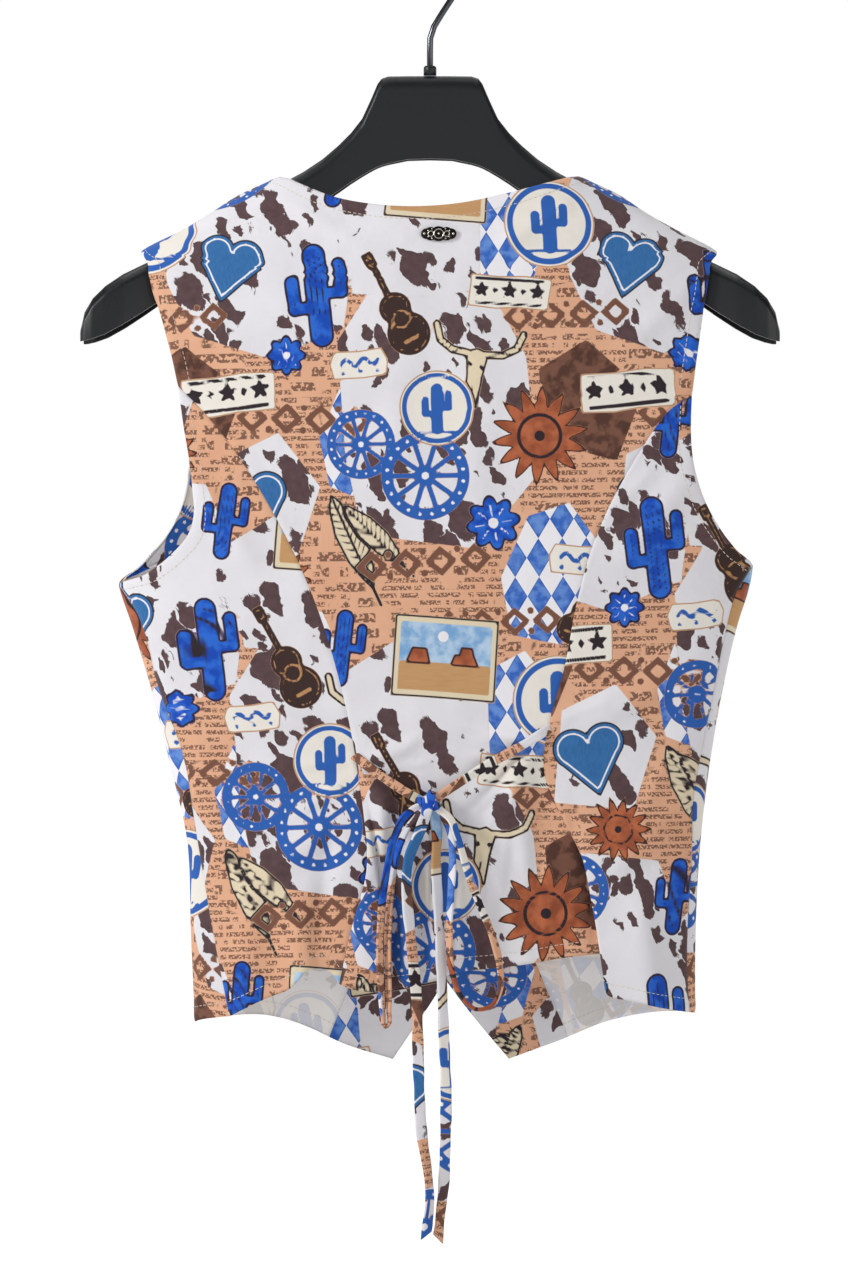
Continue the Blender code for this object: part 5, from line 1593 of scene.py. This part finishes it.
def ornament(dark, bright):
    """A dark metal plate of rounded lobes with bright beads and rings standing on it."""
    top = ORNAMENT_THICKNESS
    reach = ORNAMENT_LENGTH / 2 - ORNAMENT_END
    count = ORNAMENT_SEGMENTS
    turns = turns_of(count)
    directions = np.stack([np.cos(turns), np.sin(turns)], axis=-1)
    radii = np.linspace(0, ORNAMENT_LENGTH, 900)
    flat = (directions[:, None] * radii[None, :, None]).reshape(-1, 2)
    lobes = [disc(flat, x, 0, radius) for x, radius in (
        (reach, ORNAMENT_END), (-reach, ORNAMENT_END), (0, ORNAMENT_HEIGHT / 2), (4.9, 4.2), (-4.9, 4.2),
    )]
    inside = joined(bar(flat, -reach, 0, reach, 0, ORNAMENT_BAR), *lobes).reshape(count, -1) < 0
    last = inside.shape[1] - 1 - np.argmax(inside[:, ::-1], axis=1)
    rim = directions * radii[last][:, None]
    levels = ((0.94, 0.0), (1.0, 0.15), (1.0, top - 0.45), (0.9, top - 0.1), (0.6, top))
    rings = [np.concatenate([rim * size, np.full((count, 1), height)], axis=1) for size, height in levels]
    obj = mesh_from_arrays("ornament_form", np.concatenate(rings) * MM, ring_faces(len(levels), count), dark)
    point, normal = surface_frame(*ORNAMENT_PLACE, "back", 0.0)
    lay_on_cloth(obj, point, normal, WALL / 2 + ORNAMENT_STAND)
    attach(obj, "root")
    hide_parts("neck_ornament")
    beads = [(-reach - 1.2, 0, 0.9), (reach + 1.2, 0, 0.9), (0, 0, 0.8)]
    corners = ((-6.6, 1.9), (-4.2, 3.0), (4.2, 3.0), (6.6, 1.9))
    beads += [(x, side * z, 0.62) for x, z in corners for side in (-1, 1)]
    small = []
    for number, (x, z, radius) in enumerate(beads, start=1):
        profile = [(radius * math.cos(t), top - 0.1 + 0.8 * math.sin(t)) for t in np.linspace(0, 1.35, 6)]
        small.append((turned("ornament_bead_%d" % number, profile, 16, bright), (x, 0.0, z)))
    for number, (x, radius) in enumerate(((-5.0, 1.7), (0.0, 2.9), (5.0, 1.7)), start=1):
        profile = [(radius + 0.34 * math.cos(t), top + 0.34 * math.sin(t)) for t in np.arange(0, 6.28, 0.785)]
        small.append((turned_ring("ornament_ring_%d" % number, profile, 36, bright), (x, 0.0, 0.0)))
    for piece, place in small:
        lay_on_cloth(piece, point + np.array(place), normal, WALL / 2 + ORNAMENT_STAND)
        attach(piece, "root")


def hanger_section(x, top, underside, half_width, channel):
    """Section of the hanger across its length: a rounded top over an open channel."""
    arc_height = min(HANGER_ARC_HEIGHT, (top - underside) * 0.55)
    cells = HANGER_FINE_ARC
    points = [(-half_width, underside)]
    for step in range(cells + 1):
        turn = math.pi * (1 - step / cells)
        points.append((half_width * math.cos(turn), top - arc_height * (1 - math.sin(turn))))
    points.append((half_width, underside))
    inner_half = half_width - HANGER_WALL
    roof = min(underside + channel, top - HANGER_WALL)
    inner_arc = min(arc_height, (roof - underside) * 0.55)
    points.append((inner_half, underside))
    for step in range(cells + 1):
        turn = math.pi * step / cells
        points.append((inner_half * math.cos(turn), roof - inner_arc * (1 - math.sin(turn))))
    points.append((-inner_half, underside))
    return [(x, across, height) for across, height in points]


def hanger(plastic):
    half = np.array(HANGER_HALF, float)
    table = np.concatenate([half[:0:-1] * (-1, 1, 1, 1, 1), half])
    across = table[:, 0]
    stations = [np.linspace(*ends, HANGER_FINE_STEPS, endpoint=False) for ends in zip(across, across[1:])]
    stations = np.concatenate(stations + [across[-1:]])
    columns = [np.interp(stations, table[:, 0], table[:, i]) for i in range(1, 5)]
    rings = [hanger_section(x, *values) for x, *values in zip(stations, *columns)]
    count = len(rings[0])
    vertices = np.array(rings).reshape(-1, 3) * MM
    faces = ring_faces(len(rings), count, False)
    outer = HANGER_FINE_ARC + 3
    for base, flip in ((0, False), ((len(rings) - 1) * count, True)):
        for step in range(outer - 1):
            quad = [base + step, base + step + 1, base + count - 2 - step, base + count - 1 - step]
            faces.append(quad[::-1] if flip else quad)
    obj = mesh_from_arrays("hanger_form", vertices, faces, plastic)
    soften = obj.modifiers.new("edges", "EDGE_SPLIT")
    soften.split_angle = math.radians(50)
    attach(obj, "root")
    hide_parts("hanger")


def tube(name, points, radius, sides, material):
    """Sweep a round wire in the plane of the hanger, with rounded ends."""
    tangents = unit(np.gradient(points, axis=0))
    turns = turns_of(sides)[:, None]
    rings = [
        point + radius * (np.cos(turns) * across - np.sin(turns) * TO_VIEWER)
        for point, across in zip(points, np.cross(tangents, -TO_VIEWER))
    ]
    for position, way in ((0, -1), (len(points) - 1, 1)):
        caps = []
        for lean in (0.35, 0.7, 0.92):
            size = math.cos(lean * math.pi / 2)
            centre = points[position] + way * tangents[position] * radius * math.sin(lean * math.pi / 2) * 0.6
            caps.append(centre + (rings[position if way < 0 else -1] - points[position]) * size)
        rings = caps[::-1] + rings if way < 0 else rings + caps
    return mesh_from_arrays(name, np.concatenate(rings) * MM, ring_faces(len(rings), sides), material)


def hook(chrome, plastic):
    centre = -HOOK_RADIUS + HOOK_WIRE
    stem = [(x, 0.0, z) for x, z in HOOK_STEM]
    turns = np.radians(np.arange(HOOK_ARC_FROM, HOOK_ARC_TO + 0.1, HOOK_ARC_STEP))
    arc = [(HOOK_RADIUS * math.cos(t), 0.0, centre + HOOK_RADIUS * math.sin(t)) for t in turns]
    wire = tube("hook_wire", np.array(stem + arc, float), HOOK_WIRE, HOOK_SIDES, chrome)
    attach(wire, "root")
    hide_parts("hook")
    height = COLLAR_TOP - COLLAR_BOTTOM
    edge = COLLAR_RADIUS
    profile = ((edge, 0.0), (edge, height - 1.6), (edge - 0.25, height - 0.8), (edge - 0.9, height))
    ring_piece = turned("collar_form", profile, ROUND_SEGMENTS, plastic)
    ring_piece.location = (0.0, 0.0, COLLAR_BOTTOM * MM)
    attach(ring_piece, "root")
    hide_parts("hook_collar")


# The whole garment
def panels(bright, faded):
    """Every cloth piece, and the lines that its thread follows."""
    lines = []
    shoulder_end = SHOULDER_CELLS * FINE_ROWS
    armhole_end = shoulder_end + ARMHOLE_UPPER_CELLS * FINE_ROWS
    rows = np.arange(armhole_end + PRINCESS_CELLS * FINE_ROWS + 1)[:, None]
    at_armhole = (rows > shoulder_end) & (rows < armhole_end)
    sides = (~at_armhole, at_armhole)
    grid = back_centre_grid()
    obj, points, normals = cloth_object(
        "back_centre_cloth", "back_centre", grid, 0.0, (sides, sides, HEM, HEM), (25, 120), (bright, faded),
    )
    declare_sheet(obj)
    lines += [edge_line(points, normals, edge) for edge in ("top", "bottom")]
    part = slice(shoulder_end, armhole_end + 1)
    lines += [edge_line(points[part], normals[part], edge) for edge in ("left", "right")]
    for left_side, word, shift in ((True, "left", (97, 41)), (False, "right", (68, -22))):
        obj, points, normals = cloth_object(
            "back_side_%s_cloth" % word, "back_side_" + word, back_side_grid(left_side), 0.0,
            (SEAM, SEAM, HEM, HEM), shift, (bright, faded),
        )
        declare_sheet(obj)
        lines += [edge_line(points, normals, edge) for edge in ("top", "bottom")]
    armhole_end = FRONT_ARMHOLE_CELLS * FINE_ROWS
    for left_side, word, shift in ((True, "left", (31, -87)), (False, "right", (-140, 63))):
        grid = front_grid(left_side)
        lift = overlap_lift(grid, left_side)
        at_armhole = np.arange(grid.shape[0])[:, None] < armhole_end
        obj, points, normals = cloth_object(
            "front_%s_cloth" % word, "front_" + word, grid, lift, ((~at_armhole, at_armhole), HEM, SEAM, HEM),
            shift, (bright, faded),
        )
        declare_sheet(obj)
        lines.append(edge_line(points, normals, "bottom"))
        lines.append(edge_line(points - normals * WALL, -normals, "bottom"))
        lines.append(edge_line(points, normals, "right"))
        lines.append(edge_line(points[:armhole_end + 1], normals[:armhole_end + 1], "left"))
        part = slice((FRONT_ACROSS_CELLS - FRONT_FACING_CELLS) * FINE_FRONT_ACROSS, None)
        obj, *_ = cloth_object(
            "front_facing_%s_cloth" % word, "front_facing_" + word, grid[:, part], lift[:, part] - LAYER_STEP,
            (HEM, HEM, SEAM, HEM), (shift[0] + 60, shift[1] + 90), (faded, bright),
        )
        declare_sheet(obj)
        rows = slice(0, armhole_end + 1)
        part = slice(0, ARMHOLE_FACING_CELLS * FINE_FRONT_ACROSS + 1)
        obj, *_ = cloth_object(
            "armhole_facing_%s_cloth" % word, "armhole_facing_" + word, grid[rows, part],
            lift[rows, part] - ARMHOLE_FACING_STEP, (HEM, HEM, SEAM, HEM), (shift[0] + 20, shift[1] - 50),
            (faded, bright),
        )
        declare_sheet(obj)
    return lines


def declare_sheet(obj):
    """Read the flat cut of a piece from its table: width and length, and its area where it isn't a rectangle.
    Nothing is done with them.
    """
    form = obj.name.removesuffix("_cloth").removesuffix("_left").removesuffix("_right")
    flat, area, holder = FLAT_CUTS[form]
    if isinstance(flat[0], tuple):
        side = 0 if "left" in obj.name else 1
        flat, area = flat[side], area[side]


# Studio
def soft_light(name, place, aim, size, power):
    lamp = bpy.data.lights.new(name, "AREA")
    lamp.shape = "RECTANGLE"
    lamp.size, lamp.size_y = size
    lamp.energy = power
    obj = bpy.data.objects.new(name, lamp)
    bpy.context.scene.collection.objects.link(obj)
    obj.location = place
    obj.rotation_euler = (Vector(aim) - Vector(place)).to_track_quat("-Z", "Y").to_euler()


def studio():
    """White room, soft lamps and the camera straight behind the vest."""
    world = bpy.data.worlds.new("studio")
    world.use_nodes = True
    nodes = world.node_tree.nodes
    links = world.node_tree.links
    back = [node for node in nodes if node.type == "BACKGROUND"][0]
    place = nodes.new("ShaderNodeTexCoord")
    parts = nodes.new("ShaderNodeSeparateXYZ")
    height = nodes.new("ShaderNodeMath")
    height.operation = "ABSOLUTE"
    level, side = nodes.new("ShaderNodeMapRange"), nodes.new("ShaderNodeMapRange")
    for band, values in (
        (level, (HORIZON_BAND, HORIZON_BAND * 2, 1.0, WORLD_STRENGTH)),
        (side, (*WORLD_SIDES, BEHIND_VIEW, 1.0)),
    ):
        band.interpolation_type = "SMOOTHSTEP"
        for socket, value in zip(band.inputs[1:], values):
            socket.default_value = value
    both = nodes.new("ShaderNodeMath")
    both.operation = "MULTIPLY"
    links.new(place.outputs["Generated"], parts.inputs[0])
    links.new(parts.outputs[2], height.inputs[0])
    links.new(height.outputs[0], level.inputs[0])
    links.new(parts.outputs[1], side.inputs[0])
    links.new(level.outputs[0], both.inputs[0])
    links.new(side.outputs[0], both.inputs[1])
    links.new(both.outputs[0], back.inputs[1])
    back.inputs[0].default_value = WHITE
    bpy.context.scene.world = world
    floor_shader = Shader("studio_floor")
    place = floor_shader.node("ShaderNodeTexCoord").outputs["Object"]
    reach = floor_shader.node("ShaderNodeVectorMath", operation="LENGTH")
    floor_shader.put(place, reach.inputs[0])
    sides = floor_shader.node("ShaderNodeSeparateXYZ")
    floor_shader.put(place, sides.inputs[0])
    far = floor_shader.math(
        "MULTIPLY", floor_shader.step(reach.outputs["Value"], FLOOR_NEAR, FLOOR_FAR),
        floor_shader.step(sides.outputs[1], *FLOOR_SIDES),
    )
    glow = floor_shader.mix(far, (FLOOR_GLOW, FLOOR_GLOW, FLOOR_GLOW, 1.0), WHITE)
    floor_shader.put(glow, floor_shader.surface.inputs["Emission Color"])
    floor_shader.surface.inputs["Emission Strength"].default_value = 1.0
    floor_material = floor_shader.finish(FLOOR_COLOUR, 0.9)
    half = FLOOR_SIZE / 2
    corners = [(x, y, FLOOR_HEIGHT) for x, y in ((-half, -half), (half, -half), (half, half), (-half, half))]
    floor = mesh_from_arrays("studio_floor", np.array(corners), [[0, 1, 2, 3]], floor_material)
    for lamp in LAMPS:
        soft_light(*lamp)
    lens = bpy.data.cameras.new("camera")
    lens.lens = LENS
    lens.sensor_width = SENSOR
    camera = bpy.data.objects.new("camera", lens)
    bpy.context.scene.collection.objects.link(camera)
    camera.location = (VIEW_AIM[0], -VIEW_DISTANCE, VIEW_AIM[2])
    camera.rotation_euler = (math.radians(90), 0.0, 0.0)
    bpy.context.scene.camera = camera
    bpy.context.scene.view_settings.view_transform = "Standard"


bright = print_material("printed_cloth", False)
faded = print_material("printed_reverse", True)
thread, plastic, chrome, dark_metal, bright_metal, button_finish, shadow = [
    plain_material(name, seen(*light), seen(*dark), *grain) for name, light, dark, *grain in FINISHES
]

thread_lines = panels(bright, faded)
thread_object("seam_stitches", thread_lines, thread)
waist_tie(bright)
knot_object(bright)
buttons(button_finish, thread, shadow)
ornament(dark_metal, bright_metal)
hanger(plastic)
hook(chrome, plastic)
studio()
